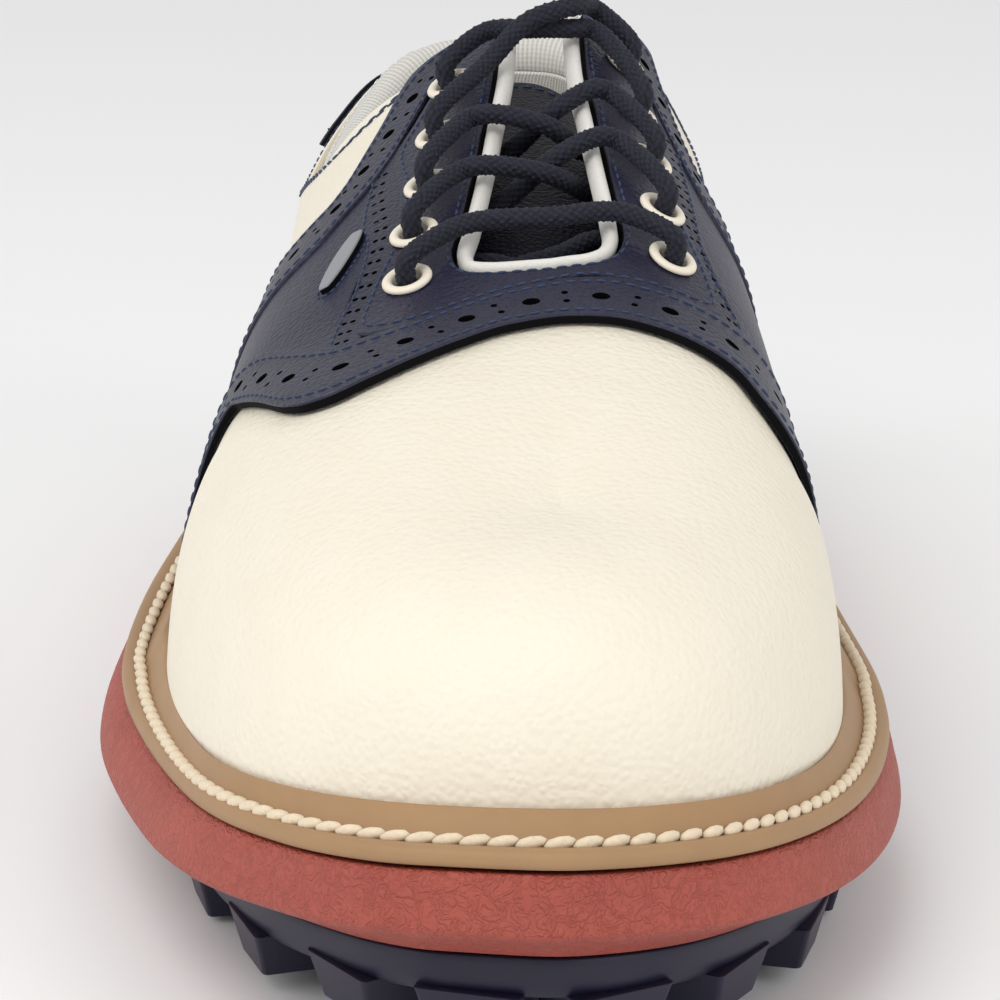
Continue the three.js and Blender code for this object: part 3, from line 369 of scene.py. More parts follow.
# %% Leather
def leather(name, base, worn, pebble, depth, roughness, coat, shine=0.5):
    material, tree, shader, place = start_material(name)
    warp = add(tree, "ShaderNodeTexNoise", {"Vector": place, "Scale": per_mm(6), "Detail": 2.0})
    bent = add(tree, "ShaderNodeVectorMath", {0: warp.outputs["Color"], 1: (pebble * MM * 1.4,) * 3},
               operation="MULTIPLY")
    spot = add(tree, "ShaderNodeVectorMath", {0: place, 1: bent.outputs[0]}, operation="ADD")
    cells = add(tree, "ShaderNodeTexVoronoi", {"Vector": spot.outputs[0], "Scale": per_mm(pebble)},
                feature="SMOOTH_F1")
    cells.inputs["Smoothness"].default_value = 0.6
    fine = add(tree, "ShaderNodeTexNoise",
               {"Vector": place, "Scale": per_mm(0.45), "Detail": 4.0, "Roughness": 0.6})
    wave = add(tree, "ShaderNodeTexNoise", {"Vector": place, "Scale": per_mm(9), "Detail": 3.0})
    pigment = blend(tree, wave.outputs["Fac"], colour(base), colour(worn))
    shader.inputs["Roughness"].default_value = roughness
    tree.links.new(pigment, shader.inputs["Base Color"])
    low = add(tree, "ShaderNodeBump", {"Height": cells.outputs["Distance"], "Strength": depth,
                                       "Distance": 0.0003}, invert=True)
    high = add(tree, "ShaderNodeBump", {"Height": fine.outputs["Fac"], "Strength": 0.35 * depth,
                                        "Distance": 0.00012, "Normal": low.outputs["Normal"]})
    tree.links.new(high.outputs["Normal"], shader.inputs["Normal"])
    shader.inputs["Specular IOR Level"].default_value = shine
    shader.inputs["Coat Weight"].default_value = coat
    shader.inputs["Coat Roughness"].default_value = 0.32
    shader.inputs["IOR"].default_value = 1.5
    return material


cream_leather = leather("cream_cowhide", "#EFE7D5", "#EAE1CD", 1.1, 0.55, 0.52, 0.06)
navy_leather = leather("navy_cowhide", "#25243C", "#1B1B2E", 0.8, 0.6, 0.4, 0.08, 0.28)
# The tongue's navy is painted darker than the saddle's navy leather, as painted shade.
tongue_leather = leather("navy_nappa", "#101120", "#0B0C16", 0.7, 0.6, 0.5, 0.0, 0.14)
print("leathers:", cream_leather.name, navy_leather.name, tongue_leather.name)

# %% [markdown]
# The cut edge of a dyed hide isn't sealed on a saddle like this: it shows as a nearly black,
# fibrous line that outlines every panel. The holes punched in the bands are lined by the same
# stuff, and their walls and floors are made nearly black: partly that dark cut hide, partly
# painted shade for the inside of the holes.

# %% Raw edge
def plain(name, base, roughness, bump_mm=0.4, strength=0.3, distance=0.00008, metallic=0.0,
          shine=0.5):
    """A moulded or cut surface: one colour, fine noise for its texture."""
    material, tree, shader, place = start_material(name)
    grit = add(tree, "ShaderNodeTexNoise",
               {"Vector": place, "Scale": per_mm(bump_mm), "Detail": 3.0})
    tone = add(tree, "ShaderNodeTexNoise", {"Vector": place, "Scale": per_mm(7), "Detail": 2.0})
    darker = [c * 0.86 for c in colour(base)[:3]] + [1.0]
    mottled = blend(tree, tone.outputs["Fac"], darker, colour(base))
    tree.links.new(mottled, shader.inputs["Base Color"])
    bump = add(tree, "ShaderNodeBump",
               {"Height": grit.outputs["Fac"], "Strength": strength, "Distance": distance})
    tree.links.new(bump.outputs["Normal"], shader.inputs["Normal"])
    shader.inputs["Roughness"].default_value = roughness
    shader.inputs["Metallic"].default_value = metallic
    shader.inputs["Specular IOR Level"].default_value = shine
    return material


raw_edge = plain("raw_cut_hide", "#07070A", 0.95, 0.25, 0.6, shine=0.15)
cream_edge = plain("cream_cut_hide", "#D9CDB4", 0.85, 0.25, 0.6)
# Near black: the dark cut hide, and painted shade for the inside of the punched holes.
hole_wall_shade = plain("punched_hide", "#060608", 0.95, 0.3, 0.3, shine=0.1)
print("cut edges:", raw_edge.name, cream_edge.name, hole_wall_shade.name)

# %% [markdown]
# ### Textiles
# Thread, lace, piping and lining are all yarn. Yarn is rough and has a soft sheen at grazing
# angles from its loose fibres. The lining is a ribbed polyester knit, so its bump is a set of
# fine ridges. They follow the piece's own UV map, which is in millimetres.

# %% Textiles
def yarn(name, base, shade, twist_mm=0.5, sheen=0.3, roughness=0.85):
    material, tree, shader, place = start_material(name)
    fibre = add(tree, "ShaderNodeTexNoise",
                {"Vector": place, "Scale": per_mm(twist_mm), "Detail": 5.0, "Roughness": 0.7})
    # The fibre noise sets both the colour and the bump, so the yarn is darker in the bump's dips: partly the
    # fibres' own tone, partly painted shade.
    mixed = blend(tree, fibre.outputs["Fac"], colour(shade), colour(base))
    tree.links.new(mixed, shader.inputs["Base Color"])
    bump = add(tree, "ShaderNodeBump",
               {"Height": fibre.outputs["Fac"], "Strength": 0.6, "Distance": 0.00015})
    tree.links.new(bump.outputs["Normal"], shader.inputs["Normal"])
    shader.inputs["Roughness"].default_value = roughness
    shader.inputs["Sheen Weight"].default_value = sheen
    shader.inputs["Sheen Roughness"].default_value = 0.5
    return material


def knit(name, base, shade, rib_mm, row_mm):
    """Ribs run along V of the piece's own UV map, stitched rows across it."""
    material, tree, shader, place = start_material(name)
    cloth = add(tree, "ShaderNodeUVMap", uv_map="cloth").outputs["UV"]
    ribs = add(tree, "ShaderNodeTexWave", {"Vector": cloth, "Scale": 2 * math.pi / (20 * rib_mm),
                                           "Distortion": 0.6, "Detail": 1.0},
               wave_type="BANDS", bands_direction="X", wave_profile="SIN")
    rows = add(tree, "ShaderNodeTexWave", {"Vector": cloth, "Scale": 2 * math.pi / (20 * row_mm),
                                           "Distortion": 1.2, "Detail": 1.0},
               wave_type="BANDS", bands_direction="Y", wave_profile="SIN")
    faint = add(tree, "ShaderNodeMath", {0: rows.outputs["Fac"], 1: 0.25}, operation="MULTIPLY")
    height = add(tree, "ShaderNodeMath", {0: ribs.outputs["Fac"], 1: faint.outputs[0]},
                 operation="ADD")
    # The colour follows the rib height: the valleys between the ribs are painted darker, as painted shade.
    tree.links.new(blend(tree, height.outputs[0], colour(shade), colour(base)),
                   shader.inputs["Base Color"])
    bump = add(tree, "ShaderNodeBump",
               {"Height": height.outputs[0], "Strength": 0.7, "Distance": 0.0002})
    tree.links.new(bump.outputs["Normal"], shader.inputs["Normal"])
    shader.inputs["Roughness"].default_value = 0.9
    shader.inputs["Sheen Weight"].default_value = 0.4
    return material


navy_thread = yarn("navy_polyester_thread", "#263F66", "#162846", 0.3, 0.1, 0.6)
cream_thread = yarn("waxed_linen_thread", "#F3E6CE", "#CDB692", 0.7, 0.3, 0.75)


def braid(name, top, groove):
    """Lace yarn: its strands keep the lace's colour on their crowns and are painted nearly black where they
    dive under, as painted shade.
    """
    material = yarn(name, top, top, 0.35, 0.04, 0.8)
    tree = material.node_tree
    strand = add(tree, "ShaderNodeAttribute", attribute_name="strand").outputs["Fac"]
    crown = add(tree, "ShaderNodeMath", {0: strand, 1: 1.4}, operation="POWER").outputs[0]
    tree.links.new(blend(tree, crown, colour(groove), colour(top)),
                   tree.nodes["Principled BSDF"].inputs["Base Color"])
    return material


# The groove colour #040408 is painted shade for the hollows between the braid's strands.
lace_yarn = braid("braided_polyester_lace", "#23263C", "#040408")
piping_yarn = yarn("woven_cotton_piping", "#EDEAE4", "#CFCBC4", 0.5, 0.3)
collar_knit = knit("ribbed_polyester_knit", "#DAD8D1", "#B9B6AE", 0.9, 0.7)
lining_knit = knit("brushed_lining", "#C9C2BA", "#ADA59D", 0.8, 0.8)
foam_stuff = plain("open_cell_foam", "#D8D2C4", 0.95, 0.5, 0.5)
print("textiles:", navy_thread.name, lace_yarn.name, collar_knit.name)

# %% [markdown]
# ### Rubber and plastic
# The midsole is moulded EVA foam. Its mould is acid-etched, which leaves a network of rounded
# wrinkles about a millimetre wide. The outsole is a harder, smoother navy TPU, and the welt is
# a satin tan rubber strip. The eyelets are dull nylon grommets.

# %% Rubber and plastic
def wrinkled_foam(name, base, deep):
    material, tree, shader, place = start_material(name)
    warp = add(tree, "ShaderNodeTexNoise", {"Vector": place, "Scale": per_mm(2.2), "Detail": 2.0,
                                            "Roughness": 0.55, "Distortion": 1.2})
    band = add(tree, "ShaderNodeMath", {0: warp.outputs["Fac"], 1: 22.0}, operation="MULTIPLY")
    folds = add(tree, "ShaderNodeMath", {0: band.outputs[0]}, operation="SINE")
    tone = add(tree, "ShaderNodeTexNoise", {"Vector": place, "Scale": per_mm(14), "Detail": 3.0})
    base_mix = blend(tree, tone.outputs["Fac"], colour(deep), colour(base))
    tree.links.new(base_mix, shader.inputs["Base Color"])
    bump = add(tree, "ShaderNodeBump",
               {"Height": folds.outputs[0], "Strength": 0.6, "Distance": 0.00028})
    tree.links.new(bump.outputs["Normal"], shader.inputs["Normal"])
    shader.inputs["Roughness"].default_value = 0.55
    return material


red_midsole = wrinkled_foam("moulded_eva_foam", "#AF5041", "#9B4436")
navy_outsole = plain("moulded_tpu", "#1E1D34", 0.45, 0.5, 0.25, shine=0.4)
tan_welt = plain("satin_rubber_welt", "#A98661", 0.5, 0.35, 0.25, shine=0.3)
nylon = plain("cream_nylon", "#F4EAD6", 0.42, 0.6, 0.12)
grey_plate = plain("grey_moulded_plate", "#8F9095", 0.4, 0.3, 0.2)
acetate = plain("lace_tip_acetate", "#15151E", 0.2, 1.0, 0.05)
fibreboard = plain("pressed_fibreboard", "#B49B78", 0.9, 0.6, 0.6)
spring_steel = plain("spring_steel", "#9A9A9C", 0.35, 0.2, 0.2, metallic=1.0)
print("rubber:", red_midsole.name, navy_outsole.name, tan_welt.name)

# %% [markdown]
# ## Building blocks
# A panel is a thin shell between two offsets of the last, over a grid of chart points. Its cut
# edges are rounded by letting the outer face fall away in the last few tenths of a millimetre,
# which is where a real cut edge catches the light.

# %% Mesh helpers
def to_scene(points):
    return (np.asarray(points, float).reshape(-1, 3) + CENTRE) * MM


def make_piece(name, points, faces, materials, face_material=None, uv=None, sharp=50.0):
    """Mesh object from points in millimetres; coincident points are merged and faces turned out."""
    mesh = bpy.data.meshes.new(name)
    mesh.from_pydata(to_scene(points).tolist(), [], [list(map(int, f)) for f in faces])
    for material in materials:
        mesh.materials.append(material)
    if face_material is not None:
        mesh.polygons.foreach_set("material_index", np.asarray(face_material, np.int32))
    if uv is not None:
        layer = mesh.uv_layers.new(name="cloth")
        corner = np.empty(len(mesh.loops), np.int32)
        mesh.loops.foreach_get("vertex_index", corner)
        layer.data.foreach_set("uv", np.asarray(uv, float)[corner].ravel())
    bm = bmesh.new()
    bm.from_mesh(mesh)
    bmesh.ops.remove_doubles(bm, verts=bm.verts, dist=2e-6)
    bmesh.ops.dissolve_degenerate(bm, edges=bm.edges, dist=1e-7)
    if bm.calc_volume(signed=True) < 0:
        bmesh.ops.reverse_faces(bm, faces=bm.faces)
    bm.to_mesh(mesh)
    bm.free()
    mesh.shade_smooth()
    mesh.set_sharp_from_angle(angle=math.radians(sharp))
    piece = bpy.data.objects.new(name, mesh)
    bpy.context.scene.collection.objects.link(piece)
    return piece


def settle(piece, body, slot, *nodes):
    """The piece moves with the body, and the CAD nodes that it stands for are hidden; slot is not used."""
    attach(piece, body)
    if nodes:
        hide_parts(*nodes)
    return piece


EDGE_STEPS = (0.12, 0.3, 0.55, 0.9)


def ticks(count, length, ends=(True, True)):
    """Even steps, with a few extra ones close to each cut end; length is in millimetres."""
    near = [e / length for e in EDGE_STEPS]
    t = list(np.linspace(0, 1, count + 1))
    if ends[0]:
        t += near
    if ends[1]:
        t += [1 - e for e in near]
    t = np.array(sorted(t))
    return t[np.concatenate([[True], np.diff(t) > 1e-5])]


def panel_grid(chart, size, counts, place, ends):
    a = ticks(counts[0], size[0], ends[:2])
    b = ticks(counts[1], size[1], ends[2:])
    A, B = np.meshgrid(a, b, indexing="ij")
    P, Q = np.broadcast_arrays(*chart(A, B))
    base = place(P, Q, 0.0)
    step_a = np.linalg.norm(np.diff(base, axis=0), axis=-1)
    step_b = np.linalg.norm(np.diff(base, axis=1), axis=-1)
    far = np.full(A.shape, 1e3)
    run_a = np.concatenate([0 * step_a[:1], np.cumsum(step_a, axis=0)])
    run_b = np.concatenate([0 * step_b[:, :1], np.cumsum(step_b, axis=1)], axis=1)
    edges = [run_a, run_a[-1:] - run_a, run_b, run_b[:, -1:] - run_b]
    inset = np.minimum.reduce([e if on else far for e, on in zip(edges, ends)])
    return A, B, P, Q, inset, np.stack([run_a, run_b], -1)


def panel(name, chart, size, counts, offsets, materials, place=skin, ends=(True,) * 4, soft=0.5,
          fold=False):
    """Closed shell over chart(a, b); offsets are its inner and outer distance from the last.
    A folded panel closes on itself at b = 1, so it has no wall there."""
    A, B, P, Q, inset, run = panel_grid(chart, size, counts, place, ends)
    under, over = [o(A, B) if callable(o) else o + 0 * A for o in offsets]
    r = np.minimum(soft, 0.45 * (over - under))
    q = r - np.minimum(inset, r)
    fall = r - np.sqrt(np.maximum(r * r - q * q, 0))
    low = place(P, Q, under + 0.4 * fall)
    high = place(P, Q, over - fall)
    na, nb = A.shape
    grid = np.arange(na * nb).reshape(na, nb)
    top = grid + na * nb
    faces = []
    kind = []

    def strip(a, b, c, d, material):
        faces.extend(np.stack([a, b, c, d], -1).reshape(-1, 4).tolist())
        kind.extend([material] * a.size)

    strip(grid[:-1, :-1], grid[:-1, 1:], grid[1:, 1:], grid[1:, :-1], 0)
    strip(top[:-1, :-1], top[1:, :-1], top[1:, 1:], top[:-1, 1:], 0)
    rim = 1 if len(materials) > 1 else 0
    strip(grid[:-1, 0], grid[1:, 0], top[1:, 0], top[:-1, 0], rim if ends[2] else 0)
    if not fold:
        strip(grid[1:, -1], grid[:-1, -1], top[:-1, -1], top[1:, -1], rim if ends[3] else 0)
    strip(grid[0, 1:], grid[0, :-1], top[0, :-1], top[0, 1:], rim if ends[0] else 0)
    strip(grid[-1, :-1], grid[-1, 1:], top[-1, 1:], top[-1, :-1], rim if ends[1] else 0)
    uv = np.concatenate([run.reshape(-1, 2)] * 2)
    points = np.concatenate([low.reshape(-1, 3), high.reshape(-1, 3)])
    return make_piece(name, points, faces, materials, kind, uv)


def between(f, g):
    """Chart spanned between two edge curves."""
    def at(a, b):
        p, q = f(a), g(a)
        return mix(p[0], q[0], b), mix(p[1], q[1], b)
    return at


def sweep(name, centres, across, up, radii, materials, sides=16, closed=False, uv_scale=1.0):
    """Round or oval tube along centres; radii are its half sizes across and up."""
    centres, across, up = [np.asarray(v, float) for v in (centres, across, up)]
    n = len(centres)
    q = np.arange(sides) * 2 * math.pi / sides
    sizes = [np.asarray(r, float) for r in radii]
    ra, ru = [np.broadcast_to(r if r.ndim != 1 else r[:, None], (n, sides)) for r in sizes]
    ring = (centres[:, None] + across[:, None] * (ra * np.cos(q))[..., None]
            + up[:, None] * (ru * np.sin(q))[..., None])
    grid = np.arange(n * sides).reshape(n, sides)
    nxt = np.roll(grid, -1, axis=1)
    if closed:
        rows, after = grid, np.roll(grid, -1, axis=0)
        side_n, side_a = nxt, np.roll(nxt, -1, axis=0)
    else:
        rows, after, side_n, side_a = grid[:-1], grid[1:], nxt[:-1], nxt[1:]
    faces = np.stack([rows, after, side_a, side_n], -1).reshape(-1, 4).tolist()
    points = ring.reshape(-1, 3)
    if not closed:
        points = np.vstack([points, centres[0], centres[-1]])
        base = n * sides
        faces += [[base, grid[0, (k + 1) % sides], grid[0, k]] for k in range(sides)]
        faces += [[base + 1, grid[-1, k], grid[-1, (k + 1) % sides]] for k in range(sides)]
    arc = np.concatenate([[0], np.cumsum(np.linalg.norm(np.diff(centres, axis=0), axis=1))])
    turn = np.abs(np.arange(sides) / sides * 2 - 1) * math.pi * float(np.mean(ra))
    uv = np.stack(np.broadcast_arrays(arc[:, None], turn[None, :]), -1).reshape(-1, 2)
    if not closed:
        uv = np.vstack([uv, uv[:1], uv[-1:]])
    return make_piece(name, points, faces, materials, uv=uv * uv_scale)


print("helpers ready")

# %% [markdown]
# ## Stitches and holes as Geometry Nodes
# A seam is one curve that is read at an even pitch, so it is a natural job for Geometry Nodes:
# the curve is resampled, and a small stitch is placed at each point, turned along the curve and
# standing on the leather. The tree's inputs are the stitch's pitch, length and thickness.
#
# The punched holes (broguing) use a second tree. It places a punch at each point and cuts them
# all out of the panel in one boolean, just as a gang punch does.

# %% Trees
def new_tree(name, inputs):
    tree = bpy.data.node_groups.new(name, "GeometryNodeTree")
    tree.interface.new_socket("Geometry", in_out="OUTPUT", socket_type="NodeSocketGeometry")
    tree.interface.new_socket("Geometry", in_out="INPUT", socket_type="NodeSocketGeometry")
    for label, kind, value in inputs:
        socket = tree.interface.new_socket(label, in_out="INPUT", socket_type="NodeSocket" + kind)
        if value is not None:
            socket.default_value = value
    return tree, tree.nodes.new("NodeGroupInput").outputs


def finish_tree(tree, geometry, material, selection=None):
    whole = add(tree, "GeometryNodeRealizeInstances", {"Geometry": geometry})
    links = {"Geometry": whole.outputs[0], "Material": material}
    if selection is not None:
        links["Selection"] = selection
    painted = add(tree, "GeometryNodeSetMaterial", links)
    add(tree, "NodeGroupOutput", {"Geometry": painted.outputs[0]})


def named(tree, name, kind="FLOAT_VECTOR"):
    return add(tree, "GeometryNodeInputNamedAttribute", {"Name": name}, data_type=kind).outputs[0]


def seam_tree():
    tree, given = new_tree("seam", [("Pitch", "Float", 0.0026), ("Stitch length", "Float", 0.002),
                                    ("Thickness", "Float", 0.0005), ("Slant", "Float", 0.0),
                                    ("Thread", "Material", None)])
    curve = add(tree, "GeometryNodeMeshToCurve", {"Mesh": given["Geometry"]})
    even = add(tree, "GeometryNodeResampleCurve",
               {"Curve": curve.outputs[0], "Length": given["Pitch"]}, mode="LENGTH")
    stitch = add(tree, "GeometryNodeMeshUVSphere", {"Segments": 8, "Rings": 6, "Radius": 0.5})
    size = add(tree, "ShaderNodeCombineXYZ", {"X": given["Stitch length"], "Y": given["Thickness"],
                                              "Z": given["Thickness"]})
    slant = add(tree, "ShaderNodeCombineXYZ", {"Z": given["Slant"]})
    shaped = add(tree, "GeometryNodeTransform", {"Geometry": stitch.outputs[0],
                                                 "Rotation": slant.outputs[0],
                                                 "Scale": size.outputs[0]})
    along = add(tree, "GeometryNodeInputTangent")
    turned = add(tree, "FunctionNodeAxesToRotation",
                 {"Primary Axis": along.outputs[0], "Secondary Axis": named(tree, "out")},
                 primary_axis="X", secondary_axis="Z")
    placed = add(tree, "GeometryNodeInstanceOnPoints",
                 {"Points": even.outputs[0], "Instance": shaped.outputs[0],
                  "Rotation": turned.outputs[0]})
    smooth = add(tree, "GeometryNodeRealizeInstances", {"Geometry": placed.outputs[0]})
    finish_tree(tree, smooth.outputs[0], given["Thread"])
    return tree


def punch_tree():
    tree, given = new_tree("punched_holes", [("Punches", "Object", None),
                                             ("Depth", "Float", 0.001),
                                             ("Hole wall", "Material", None)])
    places = add(tree, "GeometryNodeObjectInfo", {"Object": given["Punches"]})
    punch = add(tree, "GeometryNodeMeshCylinder", {"Vertices": 14, "Radius": 0.5, "Depth": 1.0})
    deep = add(tree, "ShaderNodeMath", {0: given["Depth"], 1: 2.0}, operation="MULTIPLY")
    size = add(tree, "ShaderNodeCombineXYZ", {"X": 1.0, "Y": 1.0, "Z": deep.outputs[0]})
    tall = add(tree, "GeometryNodeTransform", {"Geometry": punch.outputs[0], "Scale": size.outputs[0]})
    turned = add(tree, "FunctionNodeAxesToRotation",
                 {"Primary Axis": named(tree, "out"), "Secondary Axis": named(tree, "along")},
                 primary_axis="Z", secondary_axis="X")
    placed = add(tree, "GeometryNodeInstanceOnPoints",
                 {"Points": places.outputs["Geometry"], "Instance": tall.outputs[0],
                  "Rotation": turned.outputs[0], "Scale": named(tree, "size")})
    solid = add(tree, "GeometryNodeRealizeInstances", {"Geometry": placed.outputs[0]})
    marked = add(tree, "GeometryNodeStoreNamedAttribute",
                 {"Geometry": solid.outputs[0], "Name": "hole", "Value": 1.0}, domain="FACE")
    cut = add(tree, "GeometryNodeMeshBoolean", {"Mesh 1": given["Geometry"],
                                                "Mesh 2": marked.outputs[0]},
              operation="DIFFERENCE", solver="MANIFOLD")
    # The cut walls and floors get the near-black hole material: the dark cut hide, and painted shade inside
    # the holes.
    in_hole = add(tree, "ShaderNodeMath", {0: named(tree, "hole", "FLOAT"), 1: 0.5},
                  operation="GREATER_THAN")
    finish_tree(tree, cut.outputs["Mesh"], given["Hole wall"], in_hole.outputs[0])
    return tree


def run_tree(source, tree, values):
    """Runs a tree on source and gives back the result as a plain mesh."""
    if source.name not in bpy.context.scene.collection.objects:
        bpy.context.scene.collection.objects.link(source)
    modifier = source.modifiers.new("nodes", "NODES")
    modifier.node_group = tree
    for item in tree.interface.items_tree:
        if item.in_out == "INPUT" and item.name in values:
            modifier[item.identifier] = values[item.name]
    graph_now = bpy.context.evaluated_depsgraph_get()
    graph_now.update()
    made = bpy.data.meshes.new_from_object(source.evaluated_get(graph_now), depsgraph=graph_now)
    source.modifiers.remove(modifier)
    return made


def marked_points(name, points, edges=(), **vectors):
    """Loose points, or a line, that carry named vectors for a tree to read."""
    mesh = bpy.data.meshes.new(name)
    mesh.from_pydata(to_scene(points).tolist(), [list(map(int, e)) for e in edges], [])
    for label, values in vectors.items():
        layer = mesh.attributes.new(label, "FLOAT_VECTOR", "POINT")
        layer.data.foreach_set("vector", np.asarray(values, np.float32).ravel())
    return bpy.data.objects.new(name, mesh)


SEAM = seam_tree()
PUNCH = punch_tree()


def seam(name, lines, body, slot, thread=None, pitch=2.6, length=2.0, thick=0.5, slant=0.0):
    """One piece for all the seams in `lines`; each line is (points, outward directions)."""
    points, outs, edges = [], [], []
    base = 0
    for line, out in lines:
        points.append(line)
        outs.append(out)
        edges += [(base + i, base + i + 1) for i in range(len(line) - 1)]
        base += len(line)
    source = marked_points(name + "_line", np.vstack(points), edges, out=np.vstack(outs))
    mesh = run_tree(source, SEAM, {"Pitch": pitch * MM, "Stitch length": length * MM,
                                   "Thickness": thick * MM, "Slant": slant,
                                   "Thread": thread or navy_thread})
    bpy.data.objects.remove(source)
    mesh.shade_smooth()
    piece = bpy.data.objects.new(name, mesh)
    bpy.context.scene.collection.objects.link(piece)
    return settle(piece, body, slot)


def chart_line(curve, d, samples=160, place=skin, t0=0.0, t1=1.0):
    """A line on the last from chart curve(t), d above it, with its outward directions."""
    p, q = curve(np.linspace(t0, t1, samples))
    low = place(p, q, d)
    return low, unit(place(p, q, d + 0.5) - low)


def punch(piece, holes, depth=1.0):
    """Cuts blind holes in a panel: holes are (point, out, along, width, length) in millimetres."""
    points, out, along, width, length = [np.array(v, float) for v in zip(*holes)]
    size = np.stack([length * MM, width * MM, np.ones(len(width))], -1)
    source = marked_points(piece.name + "_punches", points, out=out, along=along, size=size)
    bpy.context.scene.collection.objects.link(source)
    mesh = run_tree(piece, PUNCH, {"Punches": source, "Depth": depth * MM, "Hole wall": hole_wall_shade})
    bpy.data.objects.remove(source)
    old = piece.data
    piece.data = mesh
    mesh.name = old.name
    mesh.set_sharp_from_angle(angle=math.radians(50))
    return piece


print("trees:", SEAM.name, PUNCH.name)

# %% [markdown]
# ## The lace
# The lace is the one free cord. It comes first. It starts and ends inside the shoe, past the top
# eyelets, in its two tips. Its route is the list that the solid follows: chart points between
# eyelets, and a tight bend through each grommet.

# %% Lace route
BEND_R, BEND_TOP, BEND_LOW = 2.4, 3.2, -3.0
EYELETS = {
    "lateral": [(121.5, -0.215), (137, -0.212), (154, -0.2), (173.5, -0.196), (195, -0.186)],
    "medial": [(126, 0.255), (142.5, 0.244), (160.5, 0.23), (179.5, 0.215), (200, 0.2)],
}
ROUTE = [
    [(253, -0.71, -17), (242, -0.68, -18), (230, -0.61, -19.5), (219, -0.57, -17),
     (210, -0.52, -12.4), (204, -0.45, -8.3), (200, -0.36, -5.8), (197, -0.27, -5.2)],
    ("lateral", 5, True),
    [(207, -0.1, 5.4), (207.5, -0.03, 4.9), (207, 0.03, 4.6), (205, 0.088, 5)],
    ("medial", 4, False),
    [(175, 0.09, -4.6), (173.5, -0.01, 1.2), (171.5, -0.096, 5), (170.5, -0.13, 5)],
    ("lateral", 3, False),
    [(155.5, -0.105, -4.6), (160.5, 0, 1.2), (159.5, 0.093, 5), (158.5, 0.13, 5)],
    ("medial", 2, False),
    [(141, 0.1, -4.8), (137.5, 0.01, -5.2), (131, -0.1, -4.8)],
    ("lateral", 1, True),
    [(131, -0.12, 5), (133, 0, 4), (132, 0.125, 5)],
    ("medial", 1, False),
    [(131, 0.1, -5), (135.5, -0.005, -8.9), (136.5, -0.1, -5.2)],
    ("lateral", 2, True),
    [(150.5, -0.135, 5), (151.5, -0.1, 5), (154.5, -0.01, 1.2), (158, 0.1, -4.6)],
    ("medial", 3, True),
    [(178, 0.12, 5), (179, 0.086, 5), (179.8, 0, 1.2), (176.5, -0.096, -4.6)],
    ("lateral", 4, True),
    [(193, -0.105, 5), (204, -0.02, 7.8), (208, 0.03, 8.3), (213, 0.085, 5.8)],
    ("medial", 5, False),
    [(202, 0.28, -5.2), (205, 0.36, -5.8), (209, 0.45, -8.3), (214, 0.52, -12.4),
     (222, 0.57, -17), (230, 0.61, -19.5), (243, 0.68, -18), (253, 0.71, -17)],
]


def through_eyelet(side, number, up, before, after):
    s, w = EYELETS[side][number - 1]
    c, n = skin(s, w), skin_normal(s, w)

    def flat(target):
        v = skin(*target) - c
        return unit(v - n * np.dot(v, n))

    def arc(level, sign, direction):
        q = np.array([0, 0.5, 1])[:, None] * math.pi / 2
        return c + n * (level + sign * BEND_R * np.sin(q)) + direction * BEND_R * (1 - np.cos(q))

    inside = arc(BEND_LOW, -1, flat(before if up else after))
    outside = arc(BEND_TOP, 1, flat(after if up else before))
    return np.vstack([inside[::-1], outside] if up else [outside[::-1], inside])


def lace_knots():
    knots = []
    for i, part in enumerate(ROUTE):
        if isinstance(part, tuple):
            knots.append(through_eyelet(*part, ROUTE[i - 1][-1], ROUTE[i + 1][0]))
        else:
            knots.append(np.array([skin(*p) for p in part]))
    return np.vstack(knots)


lace_points, lace_arc = spline(lace_knots(), 12000, full=True)
lace_length = float(lace_arc[-1])
print("lace:", round(lace_length), "mm long")


def lace_at(distance):
    return np.stack([np.interp(distance, lace_arc, lace_points[:, k]) for k in range(3)], -1)


# %% [markdown]
# A round lace is braided: half of its strands wind one way, half the other, and each passes
# over one and under the next. That makes a skin of little diamonds. The tube below carries the
# braid in its shape, because a bump alone looks flat at its outline.

# %% Braided tube
LACE_R = 1.5
STRANDS = 8
CELL = 1.45
BRAID_DEPTH = 0.5


def carried_frames(points):
    """Directions square to the line, carried along it without twisting."""
    t = unit(np.gradient(points, axis=0))
    normal = np.empty_like(t)
    normal[0] = unit(np.cross(t[0], [0.0, 0.0, 1.0]))
    for i in range(1, len(t)):
        v = normal[i - 1] - t[i] * np.dot(normal[i - 1], t[i])
        normal[i] = v / np.linalg.norm(v)
    return t, normal, np.cross(t, normal)


def braid_height(distance, turn):
    p = STRANDS * turn + distance / CELL
    q = STRANDS * turn - distance / CELL
    over = (np.floor(p) + np.floor(q)) % 2 == 0
    across = np.sin(math.pi * (p - np.floor(p)))
    beside = np.sin(math.pi * (q - np.floor(q)))
    return np.where(over, across * (0.4 + 0.6 * beside), beside * (0.4 + 0.6 * across))


